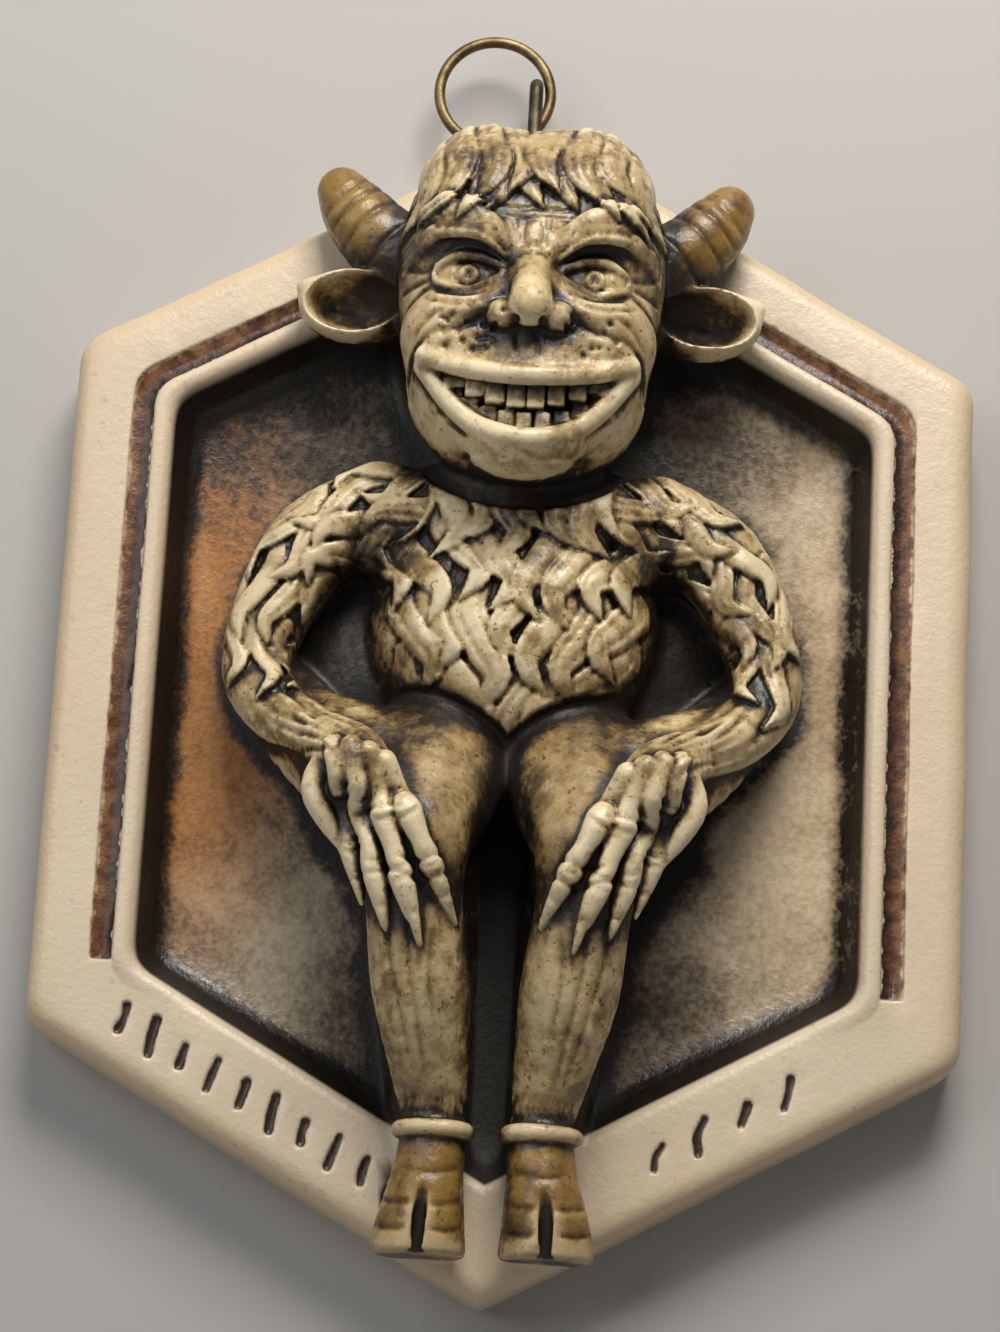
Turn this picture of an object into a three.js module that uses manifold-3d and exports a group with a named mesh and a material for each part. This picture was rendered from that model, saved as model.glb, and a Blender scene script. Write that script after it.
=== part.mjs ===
// Six-sided cast wall plaque: moulded rim, dished panel and a seated horned imp in high relief,
// all one casting, with a wire eye and a loose ring at the top corner.
import * as THREE from "three";
import { mergeVertices } from "three/addons/utils/BufferGeometryUtils.js";
import Module from "manifold-3d";

const wasm = await Module();
wasm.setup();

// Sizes in millimetres. The back lies on the wall at y = 0 and the front looks towards -Y,
// so a height h above the back is y = -h.
const plate = { width: 127, height: 168, cornerRise: 35.5, cornerRadius: 5, cornerSteps: 3 };

// Rim and panel section from the middle of the back round to the middle of the panel:
// [inset from the outline, height].
const section = [
  [30, 0], [1.2, 0], [0, 1.2], [0, 9], [0.8, 11.1], [2.8, 12], [11.2, 12], [12.6, 12.3],
  [14, 11.4], [16, 7.2], [18.4, 5.9], [40, 4.8], [60, 4.6],
];

const groove = { inset: 9.9, width: 2.6, depth: 1.1, endZ: -40 };

const skull = { x: 0, h: 22, z: 55, rx: 18.5, rh: 15.5, rz: 20 };
const muzzle = { x: 0, h: 23, z: 40, rx: 16.5, rh: 15, rz: 13.5 };
const chin = { x: 0, h: 31, z: 29.5, rx: 7.5, rh: 6, rz: 4.4 };
const cheek = { x: 11.2, h: 30, z: 45, rx: 6, rh: 6, rz: 5.5 };
const headCentre = { h: 18, z: 50 };
const headForms = [skull, muzzle, chin, cheek, { ...cheek, x: -cheek.x }];
const socket = { x: 8.4, z: 53, width: 5, height: 3.8, depth: 3.4 };
const torso = { x: 0, h: 10, z: 10, rx: 20, rh: 15, rz: 21 };

const mouth = { halfWidth: 14, top: 37, topRise: 3.4, low: 29.8, lowRise: 10.6, depth: 3, lip: 1.3 };
const teeth = { upper: 6, lower: 5, pitch: 3.5, width: 3, height: 3, depth: 3 };

const arm = [
  [19, 11, 25, 7.4], [28, 12, 20, 7], [33.5, 12, 10, 6], [35, 13, 1, 5.4], [31.5, 17, -5.5, 4.8],
  [26, 22, -9.5, 4], [20, 27, -13, 3.8],
];
const armBacking = [[33, 7, 0, 5], [27, 11, -7, 6.6], [18, 15, -13, 9]];

const thigh = [[9, 12, -10, 10], [12, 25, -23, 7.8]];
const shin = [
  [12, 25.5, -24, 7.4], [11.2, 24.5, -33, 6.4], [9.8, 22, -43, 6.6], [8.2, 18.5, -53, 5.2],
  [7.2, 17, -60, 4.2], [7.2, 17, -65, 4.4],
];
const shinBacking = [[11, 11, -24, 8], [9.4, 9, -43, 7], [7.4, 9, -64, 5]];
const hoof = [[7.2, 17, -63, 4.2], [7.8, 17.5, -70, 5.4], [8.4, 17, -76, 6.4], [8.4, 16.6, -82, 6.6]];
const hoofSole = -78;
const cuff = { z: -61.5, ring: 4.4, wire: 1.3 };

const eye = { x: -0.8, wire: 1, nearH: 8.6, farH: 3.4, footZ: 76, shoulderZ: 90, clearance: 0.3 };
const ring = { x: -6.8, h: 6, z: 91.2, radius: 8.1, wire: 0.8 };

const forward = new THREE.Vector3(0, -1, 0);
const sideways = new THREE.Vector3(1, 0, 0);

function at(x, h, z) {
  return new THREE.Vector3(x, -h, z);
}

function solid(geometry) {
  geometry.deleteAttribute("normal");
  geometry.deleteAttribute("uv");
  const merged = mergeVertices(geometry, 1e-4);
  const corners = merged.index.array;
  const kept = [];
  for (let t = 0; t < corners.length; t += 3) {
    const [a, b, c] = corners.slice(t, t + 3);
    if (a !== b && b !== c && c !== a) {
      kept.push(a, b, c);
    }
  }
  return new wasm.Manifold(new wasm.Mesh({
    numProp: 3,
    vertProperties: Float32Array.from(merged.attributes.position.array),
    triVerts: Uint32Array.from(kept),
  }));
}

// A turned surface used as a skin: point (i, j) of the turning goes where place(i, j) puts it.
function skin(rings, sides, place) {
  const profile = [];
  for (let j = 0; j < rings; j += 1) {
    profile.push(new THREE.Vector2(j === 0 || j === rings - 1 ? 0 : 1, j));
  }
  const geometry = new THREE.LatheGeometry(profile, sides);
  for (let i = 0; i <= sides; i += 1) {
    for (let j = 0; j < rings; j += 1) {
      const p = place(i % sides, j);
      geometry.attributes.position.setXYZ(i * rings + j, p.x, p.y, p.z);
    }
  }
  return solid(geometry);
}

// A rounded limb along a smooth curve through its stops [x, height, z, radius]; its thickness
// towards the face direction is the radius times flat.
function limb(stops, { sides = 8, rings = 8, flat = 1, face = forward, phase = 0.5 } = {}) {
  const curve = new THREE.CatmullRomCurve3(stops.map(([x, h, z]) => at(x, h, z)), false, "catmullrom");
  const girth = new THREE.SplineCurve(stops.map((stop, n) => new THREE.Vector2(n, stop[3])));
  return skin(rings + 2, sides, (i, j) => {
    const t = THREE.MathUtils.clamp((j - 1) / (rings - 1), 0, 1);
    const radius = girth.getPoint(t).y;
    const along = curve.getTangent(t);
    const point = curve.getPoint(t);
    if (j === 0 || j === rings + 1) {
      return point.addScaledVector(along, (j === 0 ? -0.6 : 0.6) * radius);
    }
    const front = face.clone().addScaledVector(along, -face.dot(along)).normalize();
    const across = front.clone().cross(along);
    const turn = (2 * Math.PI * (i + phase)) / sides;
    return point
      .addScaledVector(across, radius * Math.cos(turn))
      .addScaledVector(front, flat * radius * Math.sin(turn));
  });
}

function ball({ x, h, z, rx, rh, rz }, sides = 12, rings = 8) {
  const geometry = new THREE.SphereGeometry(1, sides, rings);
  geometry.scale(rx, rh, rz);
  geometry.translate(x, -h, z);
  return solid(geometry);
}

function block(x, h, z, width, depth, height, turn = 0, roll = 0) {
  const geometry = new THREE.BoxGeometry(width, depth, height);
  geometry.rotateY(roll);
  geometry.rotateZ(turn);
  geometry.translate(x, -h, z);
  return solid(geometry);
}

function union(solids) {
  return solids.reduce((whole, next) => whole.add(next));
}

function pair(make) {
  return make(1).add(make(-1));
}

function mirrored(stops, side) {
  return stops.map(([x, h, z, radius]) => [side * x, h, z, radius]);
}

// Height of an egg-shaped body's front over the point (x, z).
function frontOf(body, x, z) {
  const reach = 1 - ((x - body.x) / body.rx) ** 2 - ((z - body.z) / body.rz) ** 2;
  return body.h + body.rh * Math.sqrt(Math.max(reach, 0.02));
}

// Outline of the plate drawn in by an inset: six rounded corners, each an arc between the
// directions its two sides face.
const slope = Math.atan2(plate.cornerRise, plate.width / 2);
const facing = [0, Math.PI / 2 - slope, Math.PI / 2 + slope, Math.PI];
facing.push(Math.PI + facing[1], Math.PI + facing[2], 2 * Math.PI);

function sideReach(angle, inset) {
  const upright = Math.abs(Math.sin(angle)) < 0.01;
  return (upright ? plate.width / 2 : (plate.height / 2) * Math.cos(slope)) - inset;
}

function outline(i, inset) {
  const corner = Math.floor(i / plate.cornerSteps);
  const share = (i % plate.cornerSteps) / (plate.cornerSteps - 1);
  const [a, b] = [facing[corner], facing[corner + 1]];
  const radius = Math.max(plate.cornerRadius - inset, 0.8);
  const reachA = sideReach(a, inset + radius);
  const reachB = sideReach(b, inset + radius);
  const span = Math.sin(b - a);
  const x = (reachA * Math.sin(b) - reachB * Math.sin(a)) / span;
  const z = (reachB * Math.cos(a) - reachA * Math.cos(b)) / span;
  const turn = a + (b - a) * share;
  return [x + radius * Math.cos(turn), z + radius * Math.sin(turn)];
}

function makePlate() {
  const last = section.length - 1;
  return skin(section.length, 6 * plate.cornerSteps, (i, j) => {
    const [inset, height] = section[j];
    if (j === 0 || j === last) {
      return at(0, height, 0);
    }
    const [x, z] = outline(i, inset);
    return at(x, height, z);
  });
}

// The groove follows the two upper slants and the two sides and stops square above the lower rim.
function makeGroove() {
  const top = section[6][1];
  const cornerZ = plate.height / 2 - plate.cornerRise;
  const inX = plate.width / 2 - groove.inset;
  const drop = groove.inset * Math.tan(slope / 2 + Math.PI / 4 - slope);
  const turnZ = cornerZ - drop;
  const apexZ = plate.height / 2 - groove.inset / Math.cos(slope);
  const slantLength = Math.hypot(inX, apexZ - turnZ);
  return pair((side) => {
    const upright = block(side * inX, top, (turnZ + groove.endZ) / 2, groove.width, 2 * groove.depth,
      turnZ - groove.endZ);
    const slant = block((side * inX) / 2, top, (apexZ + turnZ) / 2, slantLength, 2 * groove.depth,
      groove.width, 0, side * Math.atan2(apexZ - turnZ, inX));
    return upright.add(slant);
  });
}

function lipLine(x, low) {
  const share = (x / mouth.halfWidth) ** 2;
  return low ? mouth.low + mouth.lowRise * share : mouth.top + mouth.topRise * share;
}

// How far the head reaches from its centre in a direction: the egg shapes' own reaches, melted
// together, less a hollow for each eye.
function headReach(dx, dh, dz) {
  const power = 14;
  let sum = 0;
  for (const form of headForms) {
    const [ux, uh, uz] = [dx / form.rx, dh / form.rh, dz / form.rz];
    const [ox, oh] = [-form.x / form.rx, (headCentre.h - form.h) / form.rh];
    const oz = (headCentre.z - form.z) / form.rz;
    const a = ux * ux + uh * uh + uz * uz;
    const b = ox * ux + oh * uh + oz * uz;
    const root = b * b - a * (ox * ox + oh * oh + oz * oz - 1);
    sum += root > 0 ? Math.max((Math.sqrt(root) - b) / a, 0) ** power : 0;
  }
  const reach = sum ** (1 / power);
  const x = Math.abs(reach * dx) - socket.x;
  const z = headCentre.z + reach * dz - socket.z;
  const hollow = Math.exp(-((x / socket.width) ** 2) - (z / socket.height) ** 2);
  return reach - (dh > 0 ? socket.depth * hollow : 0);
}

// Height of the face over the point (x, z), closed in on in a few steps.
function faceHeight(x, z) {
  let h = frontOf(muzzle, x, z);
  for (let n = 0; n < 5; n += 1) {
    const away = new THREE.Vector3(x, h - headCentre.h, z - headCentre.z);
    const far = away.length();
    away.divideScalar(far);
    h += (headReach(away.x, away.y, away.z) - far) * away.y;
  }
  return h;
}

// The bare head: a dome of rings spread from the middle of the face, then straight back to the plate.
function makeSkull(shrink) {
  const sides = 22;
  const domeRings = 10;
  const backHeights = [11, 3, 3];
  return skin(domeRings + backHeights.length, sides, (i, j) => {
    const polar = (Math.PI / 2) * Math.min(j / (domeRings - 1), 1);
    const turn = (2 * Math.PI * i) / sides;
    const [dx, dz] = [Math.sin(polar) * Math.sin(turn), Math.sin(polar) * Math.cos(turn)];
    const dh = Math.cos(polar);
    const reach = headReach(dx, dh, dz) - shrink;
    if (j === domeRings + backHeights.length - 1) {
      return at(0, backHeights[2], headCentre.z);
    }
    const h = j < domeRings ? headCentre.h + reach * dh : backHeights[j - domeRings];
    return at(reach * dx, h, headCentre.z + reach * dz);
  });
}

function makeMouth() {
  const shape = new THREE.Shape();
  const steps = 6;
  for (let n = 0; n <= steps; n += 1) {
    const x = mouth.halfWidth * ((2 * n) / steps - 1);
    shape[n ? "lineTo" : "moveTo"](x, lipLine(x, false));
  }
  for (let n = steps - 1; n > 0; n -= 1) {
    const x = mouth.halfWidth * ((2 * n) / steps - 1);
    shape.lineTo(x, lipLine(x, true));
  }
  const geometry = new THREE.ExtrudeGeometry(shape, { depth: 25, bevelEnabled: false });
  geometry.rotateX(Math.PI / 2);
  geometry.translate(0, -muzzle.h, 0);
  return solid(geometry).subtract(makeSkull(mouth.depth));
}

function makeTeeth() {
  const rows = [[teeth.upper, false], [teeth.lower, true]];
  return union(rows.flatMap(([count, low]) => Array.from({ length: count }, (_, n) => {
    const x = teeth.pitch * (n - (count - 1) / 2);
    const z = lipLine(x, low) + (low ? 1 : -1) * (teeth.height / 2 - 0.5);
    const h = faceHeight(x, z) - teeth.depth / 2 - 0.9;
    const lean = (faceHeight(x + 1, z) - faceHeight(x - 1, z)) / 2;
    return block(x, h, z, teeth.width, teeth.depth, teeth.height, -Math.atan(lean));
  })));
}

function makeLips() {
  return union([false, true].map((low) => {
    const stops = [];
    for (let n = 0; n <= 6; n += 1) {
      const x = mouth.halfWidth * (n / 3 - 1);
      const z = lipLine(x, low) + (low ? -0.6 : 0.6);
      stops.push([x, faceHeight(x, z) - 0.4, z, mouth.lip]);
    }
    return limb(stops, { sides: 5, rings: 6 });
  }));
}

// A lock of hair starts thin on a body's front, swells, bends to one side and ends in a point.
function lock(body, x, z, length, lean, curl, girth) {
  const stops = [0, 0.3, 0.65, 1].map((share, n) => {
    const px = x + lean * share + curl * Math.sin(Math.PI * 1.4 * share);
    const pz = z - length * share;
    return [px, frontOf(body, px, pz) + [0, 0.7, 0.9, 0.3][n], pz, girth * [0.7, 1, 0.8, 0.2][n]];
  });
  return limb(stops, { sides: 4, rings: 4, flat: 0.75, phase: 0 });
}

function makeChestHair() {
  const rows = [[25, 3, 9], [17.5, 4, 8.6], [10, 5, 7.6], [2.5, 4, 8.4], [-4.5, 2, 8]];
  return union(rows.flatMap(([z, count, pitch], row) => Array.from({ length: count }, (_, n) => {
    const x = pitch * (n - (count - 1) / 2);
    const curl = (n + row) % 2 ? 1.3 : -1.3;
    return lock(torso, x, z, 10, 0.12 * x, curl, 3.8);
  })));
}

// Flame-shaped locks run from the crown down over the forehead, fanned out round the skull.
function makeFringe() {
  const count = 7;
  return union(Array.from({ length: count }, (_, n) => {
    const fan = (n - (count - 1) / 2) * 0.42;
    const bend = n % 2 ? 0.12 : -0.12;
    const reach = n % 2 ? 0.48 : 0.62;
    const path = [[1.45, 2.2, 0], [1.1, 3.2, 0.5], [0.8, 2.7, 1], [reach, 0.8, -0.4]];
    const stops = path.map(([lift, r, swing]) => {
      const turn = fan + bend * swing;
      const out = r === 0.8 ? 1.5 : 0.4;
      return [
        (skull.rx + out) * Math.sin(turn) * Math.cos(lift),
        skull.h + (skull.rh + out) * Math.cos(turn) * Math.cos(lift),
        skull.z + (skull.rz + out) * Math.sin(lift),
        r,
      ];
    });
    return limb(stops, { sides: 4, rings: 4, flat: 0.8, phase: 0 });
  }));
}

function makeHead() {
  const nostrils = pair((s) => ball({ x: 2 * s, h: 41.6, z: 43.6, rx: 1.1, rh: 1.6, rz: 1.1 }, 6, 4));
  const face = union([
    makeSkull(0).subtract(makeMouth()),
    pair((s) => ball({ x: 8.4 * s, h: 32, z: 52.8, rx: 4.2, rh: 4, rz: 3.6 }, 7, 5)),
    pair((s) => limb(mirrored([
      [2.6, 36.4, 56.6, 1.6], [7.5, 37, 59, 2.4], [13, 33, 59, 2.2], [17, 27, 55.6, 1.2],
    ], s), { sides: 5, rings: 5 })),
    limb([[0, 34.5, 57.5, 1.8], [0, 37.6, 52, 2.1], [0, 40.2, 47.2, 3.3]], { sides: 6, rings: 4 }),
    pair((s) => ball({ x: 3.5 * s, h: 37.6, z: 45.6, rx: 2.5, rh: 3, rz: 2.2 }, 6, 4)),
    makeLips(),
    makeTeeth(),
  ]).subtract(nostrils);
  const horns = pair((s) => limb(mirrored([
    [14, 17, 59, 6], [20.5, 17, 63, 5.3], [25.5, 17, 67.5, 4.4], [28, 16.5, 71.5, 2.8],
  ], s), { sides: 7, rings: 5 }));
  const ears = pair((s) => {
    const bowl = ball({ x: 24.5 * s, h: 17, z: 53.4, rx: 8, rh: 6.4, rz: 5.2 }, 9, 6);
    const hollow = ball({ x: 24.8 * s, h: 21, z: 53.4, rx: 6.2, rh: 5.6, rz: 3.6 }, 8, 4);
    return bowl.subtract(hollow);
  });
  return union([face, horns, ears, makeFringe()]);
}

// Four jointed fingers lie over the knee from each hand.
function makeHand(side) {
  const palm = limb(mirrored([[23, 25, -11.5, 3.8], [19.5, 29, -15, 5.2], [17, 31, -18.5, 4.6]], side),
    { sides: 6, rings: 4, face: sideways });
  const fingers = [0, 1, 2, 3].map((n) => limb(mirrored([
    [21.4 - 3.3 * n, 30 + 0.9 * n, -16 - 0.6 * n, 2.1],
    [20 - 3.4 * n, 33.4 + 0.6 * n, -20.4 - 0.6 * n, 2.2],
    [18.6 - 3.5 * n, 34 + 0.6 * n, -25 - 0.6 * n, 1.7],
    [17.6 - 3.6 * n, 33 + 0.5 * n, -28.6 - 0.4 * n, 1.8],
    [17 - 3.6 * n, 31.4 + 0.5 * n, -32.6 - 0.4 * n, 0.6],
  ], side), { sides: 5, rings: 5, face: sideways }));
  return union([palm, ...fingers]);
}

function makeLeg(side) {
  const foot = limb(mirrored(hoof, side), { sides: 8, rings: 4 })
    .subtract(block(side * 8, 17, hoofSole - 10, 40, 40, 20));
  const cleft = limb(mirrored([[7.7, 23.4, -68, 0.5], [8.4, 23.6, -73, 1.2], [8.6, 22.6, -80, 1.9]], side),
    { sides: 5, rings: 4 });
  const band = new THREE.TorusGeometry(cuff.ring, cuff.wire, 4, 10);
  band.translate(side * 7.2, -17, cuff.z);
  return union([
    limb(mirrored(thigh, side), { sides: 7, rings: 2, face: sideways }),
    limb(mirrored(shin, side), { sides: 7, rings: 7 }),
    limb(mirrored(shinBacking, side), { sides: 6, rings: 3 }),
    solid(band),
    foot.subtract(cleft),
  ]);
}

function makeArm(side) {
  const upper = arm.slice(0, 4).map((stop) => new THREE.Vector2(side * stop[0], stop[2]));
  const curve = new THREE.SplineCurve(upper);
  const hair = [0, 0.25, 0.5, 0.75].map((t, n) => {
    const p = curve.getPoint(t);
    const across = (n % 2 ? -2 : 2) * side;
    return limb([
      [p.x + across * 0.6, 17.4, p.y + 4, 2],
      [p.x + across * 0.9, 18.4, p.y + 0.6, 3.4],
      [p.x + across * 1.3 + side, 17.4, p.y - 4, 2.8],
      [p.x + across * 1.1 + side * 2, 15.6, p.y - 8, 0.6],
    ], { sides: 4, rings: 4, flat: 0.7, phase: 0 });
  });
  return union([
    limb(mirrored(arm, side), { sides: 7, rings: 9 }),
    limb(mirrored(armBacking, side), { sides: 6, rings: 4 }),
    makeHand(side),
    ...hair,
  ]);
}

function wireEye(extra) {
  const middle = (eye.nearH + eye.farH) / 2;
  const bend = (eye.nearH - eye.farH) / 2;
  const stops = [[eye.x, eye.farH, eye.footZ], [eye.x, eye.farH, (eye.footZ + eye.shoulderZ) / 2]];
  for (let n = 0; n <= 6; n += 1) {
    const turn = (Math.PI * n) / 6;
    stops.push([eye.x, middle - bend * Math.cos(turn), eye.shoulderZ + bend * Math.sin(turn)]);
  }
  stops.push([eye.x, eye.nearH, (eye.footZ + eye.shoulderZ) / 2], [eye.x, eye.nearH, eye.footZ]);
  return limb(stops.map((stop) => [...stop, eye.wire + extra]), { sides: 6, rings: 15, face: sideways });
}

function wireRing() {
  const geometry = new THREE.TorusGeometry(ring.radius, ring.wire, 6, 24);
  geometry.rotateX(Math.PI / 2);
  geometry.translate(ring.x, -ring.h, ring.z);
  return solid(geometry);
}

function node(name, manifold, color, metalness, roughness) {
  const source = manifold.getMesh();
  const geometry = new THREE.BufferGeometry();
  geometry.setAttribute("position", new THREE.BufferAttribute(source.vertProperties, 3));
  geometry.setIndex(new THREE.BufferAttribute(source.triVerts, 1));
  geometry.computeVertexNormals();
  const material = new THREE.MeshStandardMaterial({ color, metalness, roughness });
  const mesh = new THREE.Mesh(geometry, material);
  mesh.name = name;
  return mesh;
}

// The figure is trimmed flush with the flat back; only the outer skin of the joined shapes is kept.
function makeCasting() {
  const joined = union([
    makePlate().subtract(makeGroove()),
    ball(torso, 12, 8),
    makeChestHair(),
    makeHead(),
    pair(makeArm),
    pair(makeLeg),
  ]);
  const trimmed = joined
    .subtract(block(0, -20, 0, 200, 40, 200))
    .subtract(wireEye(eye.clearance));
  return trimmed.decompose().reduce((best, body) => (body.volume() > best.volume() ? body : best));
}

const part = new THREE.Group();
part.name = "wall_plaque";
part.add(node("plaque", makeCasting(), 0xd8cbb0, 0, 0.5));
part.add(node("screw_eye", wireEye(0), 0x6a5a34, 1, 0.45));
part.add(node("hanging_ring", wireRing(), 0x9a8550, 1, 0.4));

export default part;
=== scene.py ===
import bmesh
import bpy
import numpy as np
from mathutils import Matrix, Vector


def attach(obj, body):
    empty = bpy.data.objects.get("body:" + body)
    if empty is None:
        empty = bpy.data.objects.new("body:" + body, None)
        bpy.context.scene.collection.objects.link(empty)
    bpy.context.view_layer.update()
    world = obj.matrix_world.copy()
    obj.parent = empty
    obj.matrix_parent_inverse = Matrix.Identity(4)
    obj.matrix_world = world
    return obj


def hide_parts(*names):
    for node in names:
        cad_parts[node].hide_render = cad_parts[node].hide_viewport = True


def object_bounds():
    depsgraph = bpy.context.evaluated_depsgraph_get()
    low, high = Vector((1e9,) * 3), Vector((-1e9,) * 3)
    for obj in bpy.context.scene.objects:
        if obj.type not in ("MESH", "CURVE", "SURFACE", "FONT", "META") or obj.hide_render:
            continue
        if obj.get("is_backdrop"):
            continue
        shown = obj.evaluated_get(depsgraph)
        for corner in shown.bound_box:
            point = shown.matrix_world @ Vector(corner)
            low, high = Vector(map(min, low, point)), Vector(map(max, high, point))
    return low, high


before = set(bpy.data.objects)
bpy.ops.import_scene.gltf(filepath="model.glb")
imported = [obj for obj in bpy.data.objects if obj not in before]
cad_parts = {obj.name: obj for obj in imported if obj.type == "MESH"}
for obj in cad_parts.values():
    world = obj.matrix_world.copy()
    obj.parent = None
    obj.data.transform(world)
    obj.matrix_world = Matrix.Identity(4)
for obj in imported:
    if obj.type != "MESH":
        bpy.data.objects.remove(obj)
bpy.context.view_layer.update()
mm = 0.001
rng = np.random.default_rng(11)
print("frame loaded")


# Clay on a regular grid. A form is a distance in millimetres, below zero inside it; x runs right,
# h is the height above the flat back and z runs up. Forms melt together where they meet, and the
# skin is drawn where the distance is zero.
clay = {"step": 0.34, "low": (-65.2, -1.6, -85.6), "high": (65.2, 46.4, 85.2)}
axes = [
    np.arange(low, high, clay["step"], dtype=np.float32) for low, high in zip(clay["low"], clay["high"])
]
field = np.full([len(a) for a in axes], 9, np.float32)


def softMin(a, b, blend):
    # the lesser of two, rounded over where they differ by less than the blend
    share = np.clip(0.5 + 0.5 * (b - a) / blend, 0, 1)
    return b + (a - b) * share - blend * share * (1 - share)


def ramp(value, low, high):
    # nothing below one value, one above another, smooth between them
    share = np.clip((value - low) / (high - low), 0, 1)
    return share * share * (3 - 2 * share)


def window(low, high):
    # part of the grid between two corners, with its three coordinates ready to broadcast
    cuts = []
    for axis, a, b in zip(axes, low, high):
        first, last = np.searchsorted(axis, (a, b))
        cuts.append(slice(max(first - 1, 0), last + 1))
    coords = [axis[cut] for axis, cut in zip(axes, cuts)]
    return tuple(cuts), np.meshgrid(*coords, indexing="ij", sparse=True)


def melt(low, high, distance, blend):
    # joins a form, given by its distance and the box round it, to the clay
    cut, (x, h, z) = window(np.subtract(low, blend + 1), np.add(high, blend + 1))
    field[cut] = softMin(field[cut], distance(x, h, z).astype(np.float32), blend)


def carve(low, high, distance, blend):
    # cuts such a form out of the clay
    cut, (x, h, z) = window(np.subtract(low, blend + 1), np.add(high, blend + 1))
    field[cut] = -softMin(-field[cut], distance(x, h, z).astype(np.float32), blend)


def smoothPath(stops, perSpan=4):
    # Catmull-Rom curve through stops of x, height, z and radius, or of x and z alone
    p = np.asarray(stops, float)
    p = np.vstack([2 * p[0] - p[1], p, 2 * p[-1] - p[-2]])
    a, b, c, d = p[:-3, None], p[1:-2, None], p[2:-1, None], p[3:, None]
    t = np.linspace(0, 1, perSpan, endpoint=False)[None, :, None]
    run = 0.5 * (2 * b + (c - a) * t + (2 * a - 5 * b + 4 * c - d) * t**2 + (3 * b - a - 3 * c + d) * t**3)
    return np.vstack([run.reshape(-1, p.shape[1]), p[-2]])


def nearPath(x, h, z, path):
    # distance to the nearest segment of a path, less the radius there
    best = None
    for a, b in zip(path[:-1], path[1:]):
        run = b[:3] - a[:3]
        t = (x - a[0]) * run[0] + (h - a[1]) * run[1] + (z - a[2]) * run[2]
        t = np.clip(t / max(run @ run, 1e-6), 0, 1)
        gap = (x - a[0] - t * run[0]) ** 2 + (h - a[1] - t * run[1]) ** 2 + (z - a[2] - t * run[2]) ** 2
        gap = np.sqrt(gap) - (a[3] + t * (b[3] - a[3]))
        best = gap if best is None else np.minimum(best, gap)
    return best


def pathBox(path):
    # two corners of the box round a path and its greatest radius
    reach = path[:, 3:].max()
    return path[:, :3].min(0) - reach, path[:, :3].max(0) + reach


def limb(stops, blend, perSpan=4, act=melt):
    # a round limb along the smooth path through its stops
    path = smoothPath(stops, perSpan)
    act(*pathBox(path), lambda x, h, z: nearPath(x, h, z, path), blend)


def eggDistance(x, h, z, egg):
    # distance to an egg-shaped body, near enough close to its skin
    ux, uh, uz = x - egg[0], h - egg[1], z - egg[2]
    flat = np.sqrt((ux / egg[3]) ** 2 + (uh / egg[4]) ** 2 + (uz / egg[5]) ** 2)
    steep = np.sqrt((ux / egg[3] ** 2) ** 2 + (uh / egg[4] ** 2) ** 2 + (uz / egg[5] ** 2) ** 2)
    return flat * (flat - 1) / np.maximum(steep, 1e-4)


def egg(form, blend, act=melt):
    # an egg-shaped body, given by its centre and three half sizes
    form = np.asarray(form, float)
    act(form[:3] - form[3:], form[:3] + form[3:], lambda x, h, z: eggDistance(x, h, z, form), blend)


def eggFront(form, x, z):
    # height of the egg's front over a point, held up at its rim
    reach = 1 - ((x - form[0]) / form[3]) ** 2 - ((z - form[2]) / form[5]) ** 2
    return form[1] + form[4] * np.sqrt(np.maximum(reach, 0.03))


def sided(form, side):
    # an egg or a stop of the right side, or with side -1 its mirror image
    return (side * form[0], *form[1:])


def mirrored(stops, side):
    return [sided(stop, side) for stop in stops]


# The plate: an elongated hexagon with a moulded rim and a dished panel.
plate = {
    "width": 127,
    "height": 168,
    "cornerRise": 35.5,
    "cornerBlend": 2.7,
    "edgeBlend": 3.6,
    "backBlend": 1.6,
    "tipEase": 0.35,
    "tipReach": 2.5,
    "high": (65, 20, 85),
    "section": [
        (-9, 12), (11, 12), (12.8, 11.9), (13.7, 11.5), (14.4, 10.6), (15.2, 9), (16.4, 7.2),
        (18, 6.2), (20.5, 5.7), (26, 5.4), (40, 4.9), (70, 4.6),
    ],
    "beadInset": 12.8,
    "beadHalf": 1.5,
    "beadRise": 0.75,
    "grooveInset": 9.85,
    "grooveHalf": 1.5,
    "grooveFloor": 10.9,
    "grooveEnd": -40,
    "grooveBox": ((-65, 10, -42), (65, 14, 85)),
}
slope = np.arctan2(plate["cornerRise"], plate["width"] / 2)
sectionInset = np.linspace(plate["section"][0][0], plate["section"][-1][0], 800)
sectionTop = np.interp(sectionInset, *zip(*plate["section"]))
sectionTop = np.convolve(np.pad(sectionTop, 6, mode="edge"), np.hanning(15)[1:-1] / 7, "valid")
sectionSteep = np.gradient(sectionTop, sectionInset)


def insetOf(x, z):
    # how far a point lies inside the outline: the least of its distances from the six sides,
    # rounded over at the corners and eased at the two tips
    side = plate["width"] / 2 - np.abs(x)
    slant = (plate["height"] / 2 - np.abs(z)) * np.cos(slope) - np.abs(x) * np.sin(slope)
    slant = slant - plate["tipEase"] * np.exp(-np.abs(x) / plate["tipReach"])
    return softMin(side, slant, plate["cornerBlend"])


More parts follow.
